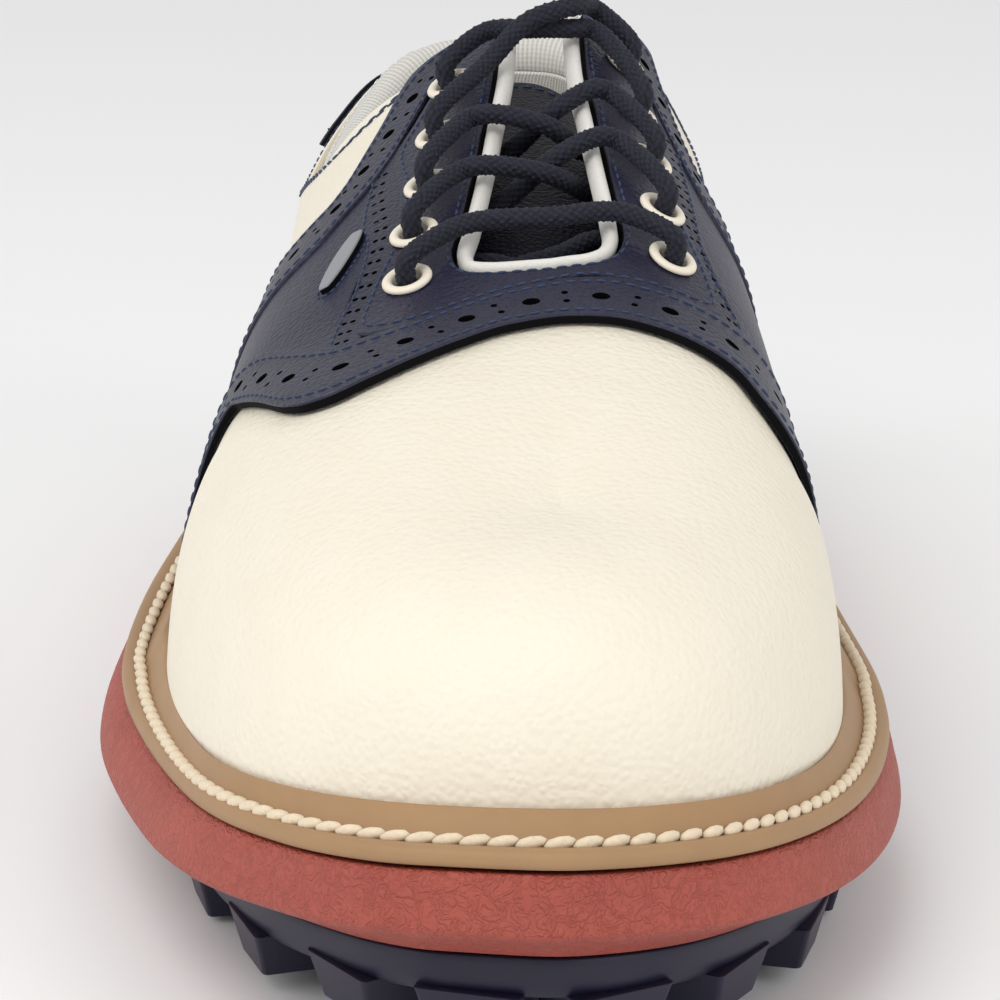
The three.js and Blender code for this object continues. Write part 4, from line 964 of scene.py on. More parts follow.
def braided_lace(step=0.38, sides=28):
    distance = np.arange(0, lace_length, step)
    centre = lace_at(distance)
    tangent, side, up = carried_frames(centre)
    turn = np.arange(sides) / sides
    height = braid_height(distance[:, None], turn[None, :])
    radius = LACE_R + 0.2 - BRAID_DEPTH + BRAID_DEPTH * height
    ends = np.minimum(distance, distance[-1] - distance)[:, None]
    radius = radius * mix(0.8, 1.0, smoothstep(0, 2, ends))
    tube = sweep("lace_braid", centre, side, up, (radius, radius), [lace_yarn], sides)
    # The braid height is kept on the tube; the lace's material uses it to paint the low places nearly black,
    # as painted shade.
    shade = tube.data.attributes.new("strand", "FLOAT", "POINT")
    shade.data.foreach_set("value", np.append(height.ravel(), [1.0, 1.0]).astype(np.float32))
    return tube, centre


lace, lace_path = braided_lace()
print("lace faces:", len(lace.data.polygons))


# %% [markdown]
# ### Lace tips
# A tip is a short dark sleeve that is crimped on each end of the lace, so that it threads
# easily. It is turned, like a lathe part, by sweeping rings along the lace's own direction.

# %% Lace tips
def lace_tip(name, end, sign):
    tip = lace_at(np.array([end]))[0]
    away = unit(tip - lace_at(np.array([end - sign * 0.5]))[0])
    run = np.array([0.4, 0.5, 0.9, 3.0, 3.2, 3.6, 3.8, 9.0, 15.0, 17.4, 18.0, 18.35, 18.4])
    size = np.array([0.9, 1.38, 1.45, 1.45, 1.36, 1.36, 1.45, 1.36, 1.27, 1.2, 1.05, 0.7, 0.1])
    centre = tip + away * run[:, None]
    side = unit(np.cross(away, [0.0, 0.0, 1.0]))
    side, up = [np.tile(v, (len(run), 1)) for v in (side, np.cross(away, side))]
    piece = sweep(name, centre, side, up, (size, size), [acetate], 20)
    return piece


lateral_tip = settle(lace_tip("lace_tip_lateral", 0.0, -1), SHOE, "aglet", "aglet_lateral")
medial_tip = settle(lace_tip("lace_tip_medial", lace_length, 1), SHOE, "aglet", "aglet_medial")
settle(lace, SHOE, "lace", "shoelace")
print("lace:", round(lace_length), "mm long,", len(lateral_tip.data.polygons), "faces on a tip")

# %% [markdown]
# ## Pattern lines
# A shoemaker cuts the upper from pattern pieces. Each line below is one edge of a pattern piece,
# given on the last as station against signed height, or for the top edge of the collar as
# feather fraction against height.

# %% Pattern lines
band_front = graph([
    (-1, 112), (-0.8, 114), (-0.65, 116.5), (-0.6, 115.5), (-0.56, 110), (-0.5, 99.5),
    (-0.44, 87.5), (-0.4, 83.5), (-0.35, 82), (-0.28, 84), (-0.2, 88.5), (-0.13, 93.5),
    (-0.06, 98.5), (0.02, 101), (0.1, 101.2), (0.2, 100), (0.3, 98.7), (0.4, 97.3),
    (0.47, 93.5), (0.55, 92), (0.65, 95), (0.8, 101), (1, 104),
])
band_back = graph([
    (-1, 127), (-0.8, 128), (-0.62, 127.3), (-0.55, 124.5), (-0.48, 119), (-0.42, 112),
    (-0.36, 105.5), (-0.32, 103.2), (-0.27, 103.5), (-0.2, 105.5), (-0.13, 109.5),
    (-0.05, 114), (0.03, 116.4), (0.1, 116.6), (0.2, 115.4), (0.3, 115), (0.4, 116),
    (0.5, 118.3), (0.65, 118.8), (0.8, 118.5), (1, 118),
])
vamp_back = graph([(-1, 119), (-0.7, 119.5), (-0.5, 110), (-0.36, 93.5), (-0.2, 97), (0, 108),
                   (0.3, 107), (0.5, 106), (1, 111)])
rear_inner = {
    -1: graph([(-1, 152), (-0.8, 150), (-0.6, 147), (-0.5, 147.5), (-0.42, 150), (-0.37, 156),
               (-0.33, 162), (-0.29, 172), (-0.25, 188), (-0.21, 201), (-0.18, 209)]),
    1: graph([(0.2, 214), (0.24, 205), (0.28, 193), (0.33, 178), (0.37, 168), (0.42, 160),
              (0.5, 156), (0.6, 155), (0.8, 156), (1, 158)]),
}
rear_outer = {
    -1: graph([(-1, 180), (-0.85, 178), (-0.7, 174), (-0.6, 169), (-0.5, 165), (-0.43, 166.5),
               (-0.39, 172), (-0.36, 181.5), (-0.33, 191), (-0.3, 201), (-0.27, 207),
               (-0.18, 214)]),
    1: graph([(0.2, 219), (0.3, 214), (0.33, 204), (0.36, 194), (0.39, 184), (0.43, 176),
              (0.5, 172), (0.6, 174), (0.7, 178), (0.85, 181), (1, 183)]),
}
wedge_low = {
    -1: graph([(103, -0.358), (122, -0.336), (131, -0.314), (145, -0.304), (160, -0.324)]),
    1: graph([(115, 0.455), (124, 0.438), (130, 0.402), (145, 0.358), (160, 0.356), (175, 0.352)]),
}
wedge_high = {
    -1: graph([(103, -0.306), (119, -0.292), (130, -0.268), (140, -0.254), (157, -0.258),
               (172, -0.29)]),
    1: graph([(115, 0.39), (125, 0.372), (134, 0.344), (141, 0.318), (155, 0.3), (175, 0.31),
              (184, 0.308)]),
}
COLLAR_TOP = [
    (0.3455, 0.732), (0.34, 0.64), (0.34, 0.56), (0.348, 0.49), (0.3625, 0.425), (0.384, 0.345),
    (0.41, 0.3), (0.43, 0.295), (0.45, 0.32), (0.47, 0.36), (0.49, 0.378), (0.508, 0.38),
    (0.526, 0.378), (0.546, 0.36), (0.566, 0.32), (0.587, 0.295), (0.607, 0.3), (0.63, 0.345),
    (0.648, 0.41), (0.66, 0.48), (0.667, 0.55), (0.667, 0.62), (0.661, 0.7),
]
THROAT = [
    (219, -0.1), (196, -0.106), (176, -0.118), (154, -0.128), (137, -0.14), (128, -0.148),
    (122.5, -0.13), (120.6, -0.09), (120.2, -0.03), (120.6, 0.03), (121.4, 0.08), (124, 0.122),
    (129, 0.145), (137, 0.143), (154, 0.125), (173, 0.108), (193, 0.09), (221, 0.082),
]
FACING_EDGE = [
    (206, -0.176), (197, -0.21), (185, -0.244), (171, -0.276), (157, -0.248), (140, -0.244),
    (130, -0.258), (119, -0.282), (108, -0.29), (105.6, -0.24), (107, -0.18), (110.5, -0.12),
    (114.6, -0.05), (117, 0.02), (117.6, 0.08), (116.6, 0.16), (116, 0.24), (116, 0.32),
    (118, 0.368), (125, 0.358), (134, 0.33), (141, 0.304), (155, 0.286), (175, 0.294),
    (192, 0.268), (205, 0.228), (215, 0.196),
]
LOOP_MM = 650.0
QUARTER_GAP = 2.5
LEATHER = (-1.4, 0.0)
LINING = (-4.6, -3.5)
OVERLAY = (0.5, 1.9)
FACING = (-1.4, 1.9)
FREE = (True, True, True, True)


def read_path(points, scale=1.0):
    at = path(points, scale)
    return lambda t: np.broadcast_arrays(*at(np.asarray(t, float)))


throat = read_path(THROAT)
facing_edge = read_path(FACING_EDGE)
collar_top = read_path(COLLAR_TOP, LOOP_MM)
collar_h = graph(COLLAR_TOP[3:-3])
print("collar line:", len(COLLAR_TOP), "points")

# %% [markdown]
# ## Vamp, toe and linings
# The vamp is one piece of cream leather pulled over the toe, so its chart closes on itself at
# the toe line. Its rear edge is hidden under the front band.

# %% Vamp
def to_toe(s0, b):
    u = mix(foot_u(s0, -1.0), feather.toe, b)
    return feather.at(u)[1]


def vamp_chart(reach, back):
    def at(a, b):
        w = mix(-reach, reach, a)
        return to_toe(back(w), b), w
    return at


HALF_GIRTH = 105.0
vamp_outline = vamp_chart(0.995, vamp_back)


def vamp_swell(a, b):
    """The tumbled leather stands about a millimetre proud in front of the band's lower ends."""
    s, w = vamp_outline(a, b)
    ahead = band_front(w) - s
    fade = smoothstep(0, 12, ahead) * (1 - smoothstep(35, 75, ahead))
    return 0.9 * fade * smoothstep(0.4, 0.7, np.abs(w))


vamp = panel("vamp_leather", vamp_outline, (2 * HALF_GIRTH, 110), (150, 110), (-1.4, vamp_swell),
             [cream_leather], ends=(False, False, True, False), fold=True)
settle(vamp, SHOE, "cream_leather", "vamp")
vamp_lining = panel("vamp_lining_knit",
                    vamp_chart(0.97, lambda w: vamp_back(w) - 2 - 9 * (1 - np.abs(w))),
                    (2 * HALF_GIRTH, 100), (70, 44), LINING, [lining_knit],
                    ends=(False, False, True, False), fold=True)
settle(vamp_lining, SHOE, "lining_fabric", "vamp_lining")
print("vamp:", len(vamp.data.polygons), "faces")

# %% [markdown]
# ## Quarters
# The two quarters carry the collar. Their top edge runs along the facing, down round the ankle
# and up to the heel, and a row of dark stitches follows it.

# %% Quarters
COLLAR_DROP = 0.045
leather_top = [(u, h - COLLAR_DROP * min(1, min(i, len(COLLAR_TOP) - 1 - i) / 4))
               for i, (u, h) in enumerate(COLLAR_TOP)]
FACING_LINE = {
    -1: (-0.315, [(119, -0.306), (130, -0.282), (141, -0.268), (157, -0.272), (171, -0.304),
                  (188, -0.264), (200, -0.228), (208, -0.198)]),
    1: (0.4, [(125, 0.386), (134, 0.358), (142, 0.332), (155, 0.314), (175, 0.322),
              (193, 0.296), (204, 0.256), (212, 0.222)]),
}
HALF_LENGTH = 200.0


def quarter_edge(side):
    w0, line = FACING_LINE[side]
    line = [(float(vamp_back(w0)) + QUARTER_GAP, w0)] + line
    middle = (len(COLLAR_TOP) + 1) // 2 - 1
    rim = leather_top[:middle] if side < 0 else leather_top[: middle : -1]
    back = feather.heel + 0.0006 * side
    up = [(float(foot_u(s, w)), 1 - abs(w)) for s, w in line]
    return read_path(up + rim + [(back, 0.333)], LOOP_MM), back


def quarter_chart(side):
    edge, back = quarter_edge(side)
    u0 = float(foot_u(vamp_back(float(side)) + QUARTER_GAP, side))

    def at(a, b):
        tu, th = edge(a)
        h = mix(0.005, th, b)
        straight = mix(mix(u0, back, a), tu, b)
        front = foot_u(vamp_back(side * (1 - h)) + QUARTER_GAP, side)
        bend = (front - mix(u0, edge(np.zeros(1))[0][0], b)) * np.maximum(0, 1 - 5 * a)
        return straight + bend, h
    return at


topline = []
for side, word in ((-1, "lateral"), (1, "medial")):
    chart = quarter_chart(side)
    piece = panel("quarter_leather_" + word, chart, (HALF_LENGTH, 55), (120, 40), LEATHER,
                  [cream_leather, cream_edge], place=wall, ends=FREE)
    settle(piece, SHOE, "cream_leather", "quarter_" + word)
    for b in (0.955, 0.985):
        topline.append(chart_line(lambda t: chart(t, b + 0 * t), 0.12, 300, wall, 0.42, 0.985))
seam("topline_stitches", topline, SHOE, "navy_leather", navy_thread, 2.6, 2.0, 0.45)
print("quarters and their topline seam:", len(topline), "lines")

# %% [markdown]
# ## Collar
# The mouth of the shoe is edged by a soft roll: foam wrapped in a ribbed knit. Behind it the
# collar lining drops inside, over more foam, to the lining of the quarters.

# %% Collar lining and foam
def heel_span(u0, u1, low, high):
    def at(a, b):
        u = mix(u0, u1, a)
        return u, mix(low(u), high(u), b)
    return at


def lining_top(u):
    k = np.abs(u - feather.heel)
    return mix(collar_h(u) - 0.165, 0.42, smoothstep(0.15, 0.22, k))


quarter_lining = panel("quarter_lining_knit", heel_span(0.2125, 0.822, lambda u: 0.015, lining_top),
                       (400, 35), (150, 16), LINING, [lining_knit], place=wall)
settle(quarter_lining, SHOE, "lining_fabric", "quarter_lining")
collar_foam = panel("collar_foam_pad",
                    heel_span(0.362, 0.646, lambda u: collar_h(u) - 0.15, lambda u: collar_h(u) - 0.1),
                    (185, 5), (110, 6), (lambda a, b: -4.8 - 0.6 * np.sin(math.pi * b), -3.4),
                    [foam_stuff], place=wall)
settle(collar_foam, SHOE, "foam", "collar_foam")
collar_lining = panel(
    "collar_lining_knit",
    heel_span(0.352, 0.655, lambda u: collar_h(u) - 0.155, lambda u: collar_h(u) - 0.04),
    (200, 12), (150, 14),
    (lambda a, b: mix(-7.0, -10.9, b) - 0.8 * np.sin(math.pi * b),
     lambda a, b: mix(-6.0, -9.9, b) - 0.8 * np.sin(math.pi * b)),
    [collar_knit], place=wall)
settle(collar_lining, SHOE, "lining_fabric", "collar_lining")
print("collar lining:", len(collar_lining.data.polygons), "faces")

# %% [markdown]
# ### Collar roll
# The roll is knit fabric drawn round a foam core and closed at both ends. A bevelled curve
# would give a plain tube; sweeping rings lets it swell in the middle and thin at its ends.

# %% Collar roll
ROLL_HALF = (3.6, 4.4)
ROLL_DEPTH = -5.6
ROLL_FROM, ROLL_TO = 0.1, 0.91


def collar_roll(samples=220, sides=22):
    t = np.linspace(0, 1, samples)
    place = mix(ROLL_FROM, ROLL_TO, t)
    u, h = collar_top(place)
    after = wall(*collar_top(place + 0.012), 0)
    before = wall(*collar_top(place - 0.012), 0)
    out = last_normal(u, h)
    up = unit(np.cross(unit(after - before), out))
    up = up * np.where(up[:, 2:] < 0, -1, 1)
    end = np.minimum(t, 1 - t)
    thin = mix(0.55, 1, smoothstep(0, 0.14, end))
    closed = np.sqrt(np.clip(end / 0.018, 0.04, 1))
    centre = wall(u, h, ROLL_DEPTH) - up * (ROLL_HALF[1] * thin)[:, None]
    # The knit pulls in slightly between its rows of stitches, so the roll is gently quilted.
    puff = 1 - 0.022 * (1 + np.cos(2 * math.pi * t * 26)) / 2
    radii = [(r * thin * closed * puff)[:, None] for r in ROLL_HALF]
    roll = sweep("collar_roll", centre, out, up, radii, [collar_knit], sides)
    seam_line = centre + out * (radii[0] * 0.72) + up * (radii[1] * 0.72)
    return roll, (seam_line[6:-6], unit(out + up)[6:-6])


roll, roll_seam = collar_roll()
settle(roll, SHOE, "lining_fabric", "collar_binding")
seam("collar_roll_stitches", [roll_seam], SHOE, "lining_fabric", piping_yarn, 2.4, 1.7, 0.4)
print("collar roll:", len(roll.data.polygons), "faces")

# %% [markdown]
# ## Saddle
# The navy saddle is what makes this shoe: a front band with a winged lower edge, a panel on each
# side, narrow bands under the facing, and a rear band that climbs to the facing's corner. All of
# it lies over the cream leather, so its cut edges show as a dark outline.
#
# Broguing is a row of punched holes: large ones, with pairs of small ones between. The holes
# don't go right through, because the band is backed.

# %% Broguing helper
def brogue(chart_curve, pitch, big, small, spread, start=3.0, stop=3.0, place=skin):
    """Holes along a chart curve: a large oval every second place, else two small ones."""
    t = np.linspace(0, 1, 900)
    line = place(*chart_curve(t), 1.9)
    arc = np.concatenate([[0], np.cumsum(np.linalg.norm(np.diff(line, axis=0), axis=1))])
    count = int((arc[-1] - start - stop) / pitch)
    holes = []
    for k in range(count + 1):
        here = np.interp(start + k * (arc[-1] - start - stop) / max(count, 1), arc, t)
        s, w = [v[0] for v in chart_curve(np.array([here]))]
        top = 1.9 - smoothstep(0.5, 0.8, abs(w))
        steps = (here - 0.002, here, here + 0.002)
        p0, p, p1 = [place(*chart_curve(np.array([v])), top)[0] for v in steps]
        n = skin_normal(s, w)
        along = unit(p1 - p0)
        across = np.cross(n, along)
        if k % 2 == 0 and big:
            holes.append((p, n, along, big, big * 1.25))
        else:
            for sign in (-1, 1):
                holes.append((p + across * sign * spread, n, along, small, small))
    return holes


def line_at(chart, b):
    """The chart curve at a fixed fraction b across a panel."""
    return lambda t: np.broadcast_arrays(*chart(np.asarray(t, float), b + 0 * np.asarray(t, float)))


SADDLE = [navy_leather, raw_edge]
seams = []
print("broguing ready")

# %% [markdown]
# Where two pieces of leather meet, one tucks about a millimetre under the other. The skiving
# knife has thinned the one below, so each layer stands only a fifth of a millimetre over the
# next: side panel, wedge band, facing, and on top the front and rear bands. All of them thin
# out towards the welt.

# %% Layers
TUCK = 1.3


def layer(top):
    """Inner and outer offset of one layer of the saddle at signed height w."""
    def offsets(chart):
        def thin(a, b):
            return smoothstep(0.5, 0.8, np.abs(chart(a, b)[1]))
        return (lambda a, b: mix(0.5, 0.05, thin(a, b)),
                lambda a, b: mix(top, top - 1.0, thin(a, b)))
    return offsets


SIDE_LAYER, WEDGE_LAYER, BAND_LAYER = layer(1.6), layer(1.75), layer(2.1)
print("leather is tucked under by", TUCK, "mm")

# %% [markdown]
# ### Front band
# The front band crosses the shoe in front of the throat and joins both sides. It is one leather panel on the
# last, with a row of punched holes and two seams.

# %% Front band
def thread_line(chart, b, layer_of, samples, t0=0.01, t1=0.99, place=skin):
    """A seam that lies on the leather, along the panel at fraction b."""
    t = np.linspace(t0, t1, samples)
    top = layer_of(chart)[1](t, b + 0 * t)
    p, q = chart(t, b + 0 * t)
    low = place(p, q, top + 0.02)
    return low, unit(place(p, q, top + 0.52) - low)


def front_band_chart(a, b):
    w = mix(-0.985, 0.985, a)
    return mix(band_front(w), band_back(w), b), w


front_band = panel("front_band_leather", front_band_chart, (2 * HALF_GIRTH, 17), (260, 14),
                   BAND_LAYER(front_band_chart), SADDLE, soft=0.28)
punch(front_band, brogue(line_at(front_band_chart, 0.5), 5.1, 2.2, 1.05, 1.3), 0.7)
settle(front_band, SHOE, "navy_leather", "front_band")
for b in (0.14, 0.88):
    seams.append(thread_line(front_band_chart, b, BAND_LAYER, 500, 0.01, 0.99))
print("front band:", len(front_band.data.polygons), "faces")

# %% [markdown]
# ### Side panels and bands
# Each side has a panel, a band along the facing and a band at the rear. The two sides differ
# only in their edges, so one loop makes both.

# %% Side panels, wedge bands and rear bands
def saddle_chart(side):
    low, inner = wedge_low[side], rear_inner[side]
    w_top = -0.34 if side < 0 else 0.4

    def at(a, b):
        guess = low(mix(band_back(w_top) + 1, inner(w_top) - 1, a))
        top = low(mix(band_back(guess) + 1, inner(guess) - 1, a)) - 0.016 * side
        w = mix(0.985 * side, top, b)
        return mix(band_back(w) - TUCK, inner(w) + TUCK, a), w
    return at


def wedge_chart(side):
    low, high, inner = wedge_low[side], wedge_high[side], rear_inner[side]
    w_top = -0.34 if side < 0 else 0.4
    s0 = float(band_back(w_top))
    s1 = float(inner(high(inner(w_top) - 1)))

    def at(a, b):
        s = mix(s0, s1, a)
        w = mix(low(s), high(s) - 0.014 * side, b)
        return mix(band_back(w) - TUCK, inner(w) + TUCK, a), w
    return at


def rear_chart(side):
    w_up = -0.185 if side < 0 else 0.205

    def at(a, b):
        w = mix(0.985 * side, w_up, a)
        return mix(rear_inner[side](w) + 0.2, rear_outer[side](w), b), w
    return at


for side, word in ((-1, "lateral"), (1, "medial")):
    chart = saddle_chart(side)
    piece = panel("saddle_leather_" + word, chart, (30, 70), (40, 90), SIDE_LAYER(chart), SADDLE)
    settle(piece, SHOE, "navy_leather", "saddle_" + word)
    chart = wedge_chart(side)
    piece = panel("wedge_band_leather_" + word, chart, (55, 5), (90, 8), WEDGE_LAYER(chart), SADDLE)
    punch(piece, brogue(line_at(chart, 0.42), 3.4, 0, 0.95, 0.7), 0.7)
    settle(piece, SHOE, "navy_leather", "wedge_band_" + word)
    seams.append(thread_line(chart, 0.1, WEDGE_LAYER, 200, 0.03, 0.97))
    chart = rear_chart(side)
    piece = panel("rear_band_leather_" + word, chart, (110, 18), (170, 14), BAND_LAYER(chart), SADDLE)
    punch(piece, brogue(line_at(chart, 0.52), 4.9, 2.2, 1.05, 1.3), 0.7)
    settle(piece, SHOE, "navy_leather", "rear_band_" + word)
    for b in (0.12, 0.88):
        seams.append(thread_line(chart, b, BAND_LAYER, 300, 0.01, 0.97))
print("saddle panels ready")


# %% [markdown]
# ### Heel tab
# A shield of leather covers the back seam. It is a panel on the wall of the last, a little
# proud of the quarters, with a seam along three of its edges.

# %% Heel tab
def heel_tab_chart(a, b):
    k = mix(-1, 1, a)
    u = feather.heel + k * mix(0.026, 0.07, b)
    return u, mix(0.09, collar_h(u) - 0.052, b)


heel_tab = panel("heel_tab_leather", heel_tab_chart, (60, 40), (60, 40), OVERLAY, SADDLE,
                 place=wall)
settle(heel_tab, SHOE, "navy_leather", "heel_tab")
for a in (0.05, 0.95):
    seams.append(chart_line(lambda t: heel_tab_chart(a + 0 * t, t), OVERLAY[1] + 0.08, 120,
                            wall, 0.03, 0.97))
seams.append(chart_line(lambda t: heel_tab_chart(t, 0.95 + 0 * t), OVERLAY[1] + 0.08, 120,
                        wall, 0.05, 0.95))
print("heel tab:", len(heel_tab.data.polygons), "faces")

# %% [markdown]
# ## Facing, eyelets and throat
# The facing is one U of leather round the throat, with five holes a side. Each holds a moulded
# grommet. Its profile is turned round the hole's axis: a barrel, a hidden lower flange and the
# rounded rim that shows. The throat's edge is piped with a woven cord.

# %% Facing
facing_shape = between(facing_edge, throat)


def facing_chart(a, b):
    """The facing with its outer edge carried 1.3 mm further, over the wedge bands."""
    return facing_shape(a, mix(-0.055, 1, b))


facing = panel("facing_leather", facing_chart, (300, 22), (260, 24), FACING, SADDLE, soft=0.4)
EYELET_HOLE = 6.1
eyelet_holes = []
for places in EYELETS.values():
    for s, w in places:
        n = skin_normal(s, w)
        along = unit(np.cross(n, [1.0, 0.3, 0.0]))
        eyelet_holes.append((skin(s, w), n, along, EYELET_HOLE, EYELET_HOLE))
punch(facing, eyelet_holes, 4.0)
settle(facing, SHOE, "navy_leather", "eyestay")
seams.append(chart_line(line_at(facing_chart, 0.1), FACING[1] + 0.02, 500, t0=0.01, t1=0.99))
seams.append(chart_line(line_at(facing_chart, 0.93), FACING[1] + 0.02, 400, t0=0.01, t1=0.99))
seam("saddle_stitches", seams, SHOE, "navy_leather", navy_thread, 2.2, 1.65, 0.42)
print("facing:", len(facing.data.polygons), "faces,", len(seams), "saddle seams")

# %% [markdown]
# ### Eyelets
# A nylon eyelet is a ring with a rounded flange, turned from one profile round the hole's
# axis. The same profile makes all ten, so it is worked out in a loop.

# %% Eyelets
GROMMET = [
    (2.3, -2.6), (2.45, -2.8), (3.85, -2.8), (4.0, -2.65), (4.0, -2.35), (3.85, -2.2), (3.1, -2.15),
    (3.0, -2.05), (3.0, 1.85), (3.2, 1.95), (3.65, 2.0), (3.85, 2.12), (3.9, 2.35), (3.82, 2.62),
    (3.55, 2.86), (3.15, 2.96), (2.72, 2.88), (2.42, 2.65), (2.3, 2.3),
]


def grommet(name, s, w, around=40):
    n = skin_normal(s, w)
    side = unit(np.cross(n, [0.0, 1.0, 0.0]))
    up = np.cross(n, side)
    q = np.arange(around) * 2 * math.pi / around
    ring = side * np.cos(q)[:, None] + up * np.sin(q)[:, None]
    points = [skin(s, w) + r * ring + n * z for r, z in GROMMET]
    count = len(GROMMET)
    grid = np.arange(count * around).reshape(count, around)
    after, beside = np.roll(grid, -1, axis=0), np.roll(grid, -1, axis=1)
    faces = np.stack([grid, after, np.roll(after, -1, axis=1), beside], -1).reshape(-1, 4)
    return make_piece(name, np.vstack(points), faces, [nylon])


for word, places in EYELETS.items():
    for i, (s, w) in enumerate(places, 1):
        ring = grommet(f"grommet_{word}_{i}", s, w)
        settle(ring, SHOE, "eyelet_plastic", f"eyelet_{word}_{i}")
print("eyelets:", sum(len(places) for places in EYELETS.values()))

# %% [markdown]
# ### Throat piping
# Piping is a covered cord that finishes the edge of the throat. It is one oval section swept
# along the throat line.

# %% Throat piping
PIPE_HALF = (1.2, 1.8)


def throat_piping(samples=260):
    t = np.linspace(0, 1, samples)
    s, w = throat(t)
    line = skin(s, w)
    along = unit(np.gradient(line, axis=0))
    n = skin_normal(s, w)
    inward = unit(np.cross(n, along))
    centre = skin(s, w, 0.35) + inward * (PIPE_HALF[0] + 0.6)
    return sweep("throat_piping", centre, inward, n, PIPE_HALF, [piping_yarn], 18)


settle(throat_piping(), SHOE, "throat_cord", "throat_binding")
print("piping half sizes:", PIPE_HALF, "mm")

# %% [markdown]
# A small plain plate is sewn to the outer side panel. It stays blank.

# %% Side plate
def plate_chart(a, b):
    s = mix(128.6, 144.4, a)
    taper = np.clip(np.sin(math.pi * mix(0.02, 0.98, a)), 0, 1) ** 0.3
    return s, -0.372 + 0.052 * a + mix(-0.02, 0.02, b) * taper


plate = panel("side_plate", plate_chart, (17, 4), (60, 18), (1.4, 2.7), [grey_plate, raw_edge],
              soft=0.3)
settle(plate, SHOE, "badge", "badge")


def plate_outline(t):
    q = t * 2 * math.pi
    a = 0.5 - 0.56 * np.cos(q)
    b = 0.5 + 0.62 * np.sign(np.sin(q)) * np.abs(np.sin(q)) ** 0.6
    return mix(128.6, 144.4, a), -0.372 + 0.052 * a + mix(-0.024, 0.024, b)


seam("plate_stitches", [chart_line(plate_outline, 1.64, 200)], SHOE, "navy_leather", navy_thread,
     1.5, 1.2, 0.36)
print("side plate:", len(plate.data.polygons), "faces")

# %% [markdown]
# ## Tongue
# Three layers make the tongue: nappa leather outside, a foam pad, and the lining. It is sewn
# down at its front end only, and turns about that root as one flap.

# %% Tongue
TONGUE = "tongue_flap"
tongue_z = graph([(104, 73.5), (112, 74), (122, 75.8), (150, 84), (175, 90.5), (195, 95), (212, 98)])
tongue_half = graph([(104, 25), (150, 24.5), (175, 20), (190, 16), (207, 15.5), (212, 12)])
tongue_x = graph([(104, 6), (150, 5), (200, 3)])
tongue_drop = graph([(104, 8), (150, 9), (200, 6.5), (212, 4.5)])


def tongue_face(s, q):
    s, q = np.broadcast_arrays(np.asarray(s, float), np.asarray(q, float))
    height = tongue_z(s) - tongue_drop(s) * q * q
    return np.stack([tongue_x(s) + q * tongue_half(s), s + TOE_Y, height], -1)


def on_tongue(s, q, d):
    ds = tongue_face(s + 0.5, q) - tongue_face(s - 0.5, q)
    dq = tongue_face(s, q + 0.01) - tongue_face(s, q - 0.01)
    s, q, d = np.broadcast_arrays(*[np.asarray(v, float) for v in (s, q, d)])
    return tongue_face(s, q) + unit(np.cross(dq, ds)) * d[..., None]


def tongue_chart(s0, s1, width):
    """The tongue's top edge is an arch that falls 12 mm towards its corners."""
    return lambda a, b: (mix(s0, s1 - 12 * np.abs(mix(-1, 1, a)) ** 2.2, b), mix(-width, width, a))


tongue = panel("tongue_leather", tongue_chart(104, 207.5, 1), (48, 104), (44, 70), (-1.5, -0.35),
               [tongue_leather, raw_edge], place=on_tongue)
settle(tongue, TONGUE, "navy_leather", "tongue")
padding = panel("tongue_pad", tongue_chart(124, 210, 0.95), (46, 86), (40, 60), (-5.5, -1.7),
                [collar_knit], place=on_tongue, soft=1.7)
settle(padding, TONGUE, "foam", "tongue_padding")
tongue_lining = panel("tongue_lining_knit", tongue_chart(108, 211, 1), (48, 103), (40, 60), (-6.9, -5.9),
                      [lining_knit], place=on_tongue)
settle(tongue_lining, TONGUE, "lining_fabric", "tongue_lining")


def tongue_rim(t):
    """Up one edge of the tongue, round its arch, and down the other."""
    q = np.clip(mix(-1.9, 1.9, t), -0.9, 0.9)
    down = np.maximum(np.abs(mix(-1.9, 1.9, t)) - 0.9, 0) * 60
    return 205 - 12 * np.abs(q) ** 2.2 - down, q


seam("tongue_stitches", [chart_line(tongue_rim, -0.3, 400, on_tongue)], TONGUE, "navy_leather",
     navy_thread, 2.2, 1.6, 0.36)
print("tongue ready")

# %% [markdown]
# ## Sole unit
# Each layer of the sole is an outline that grows or shrinks with height, so it is built as
# stacked rings. Cutting the corners of the profile twice (Chaikin's rule) gives moulded, soft
# corners without adding to its size.

# %% Ring helpers
def ring_points(loop, count, grow, z, share):
    k = np.arange(count) * 2 / count
    u, x, s, ox, os = loop.half(k)
    g = grow(s, np.where(x < 0, -1, 1)) if callable(grow) else grow
    station = s + os * g
    return np.stack([x + ox * g, station + TOE_Y, z + lift(station, share)], -1)


def soften(profile, rounds=2):
    for _ in range(rounds):
        p, q = profile[:-1], profile[1:]
        cut = np.stack([0.75 * p + 0.25 * q, 0.25 * p + 0.75 * q], 1).reshape(-1, *profile.shape[1:])
        profile = np.concatenate([profile[:1], cut, profile[-1:]])
    return profile


def cap_grid(ring, across, base, ring_index):
    """Fills a ring with rows that join its two sides; gives new points and faces."""
    n = len(ring)
    rows = []
    points = []
    for i in range(1, n // 2):
        left, right = ring[i], ring[n - i]
        t = np.linspace(0, 1, across + 1)[1:-1, None]
        start = base + len(points)
        points.extend(mix(left, right, t))
        rows.append([ring_index[i], *range(start, start + across - 1), ring_index[n - i]])
    faces = []
    for a, b in zip(rows[:-1], rows[1:]):
        faces += [[a[k], b[k], b[k + 1], a[k + 1]] for k in range(across)]
    for row, tip in ((rows[0], ring_index[0]), (rows[-1], ring_index[n // 2])):
        faces += [[tip, row[k], row[k + 1]] for k in range(across)]
    half = len(faces) - across
    faces[half:] = [[f[0], f[2], f[1]] for f in faces[half:]]
    return points, faces


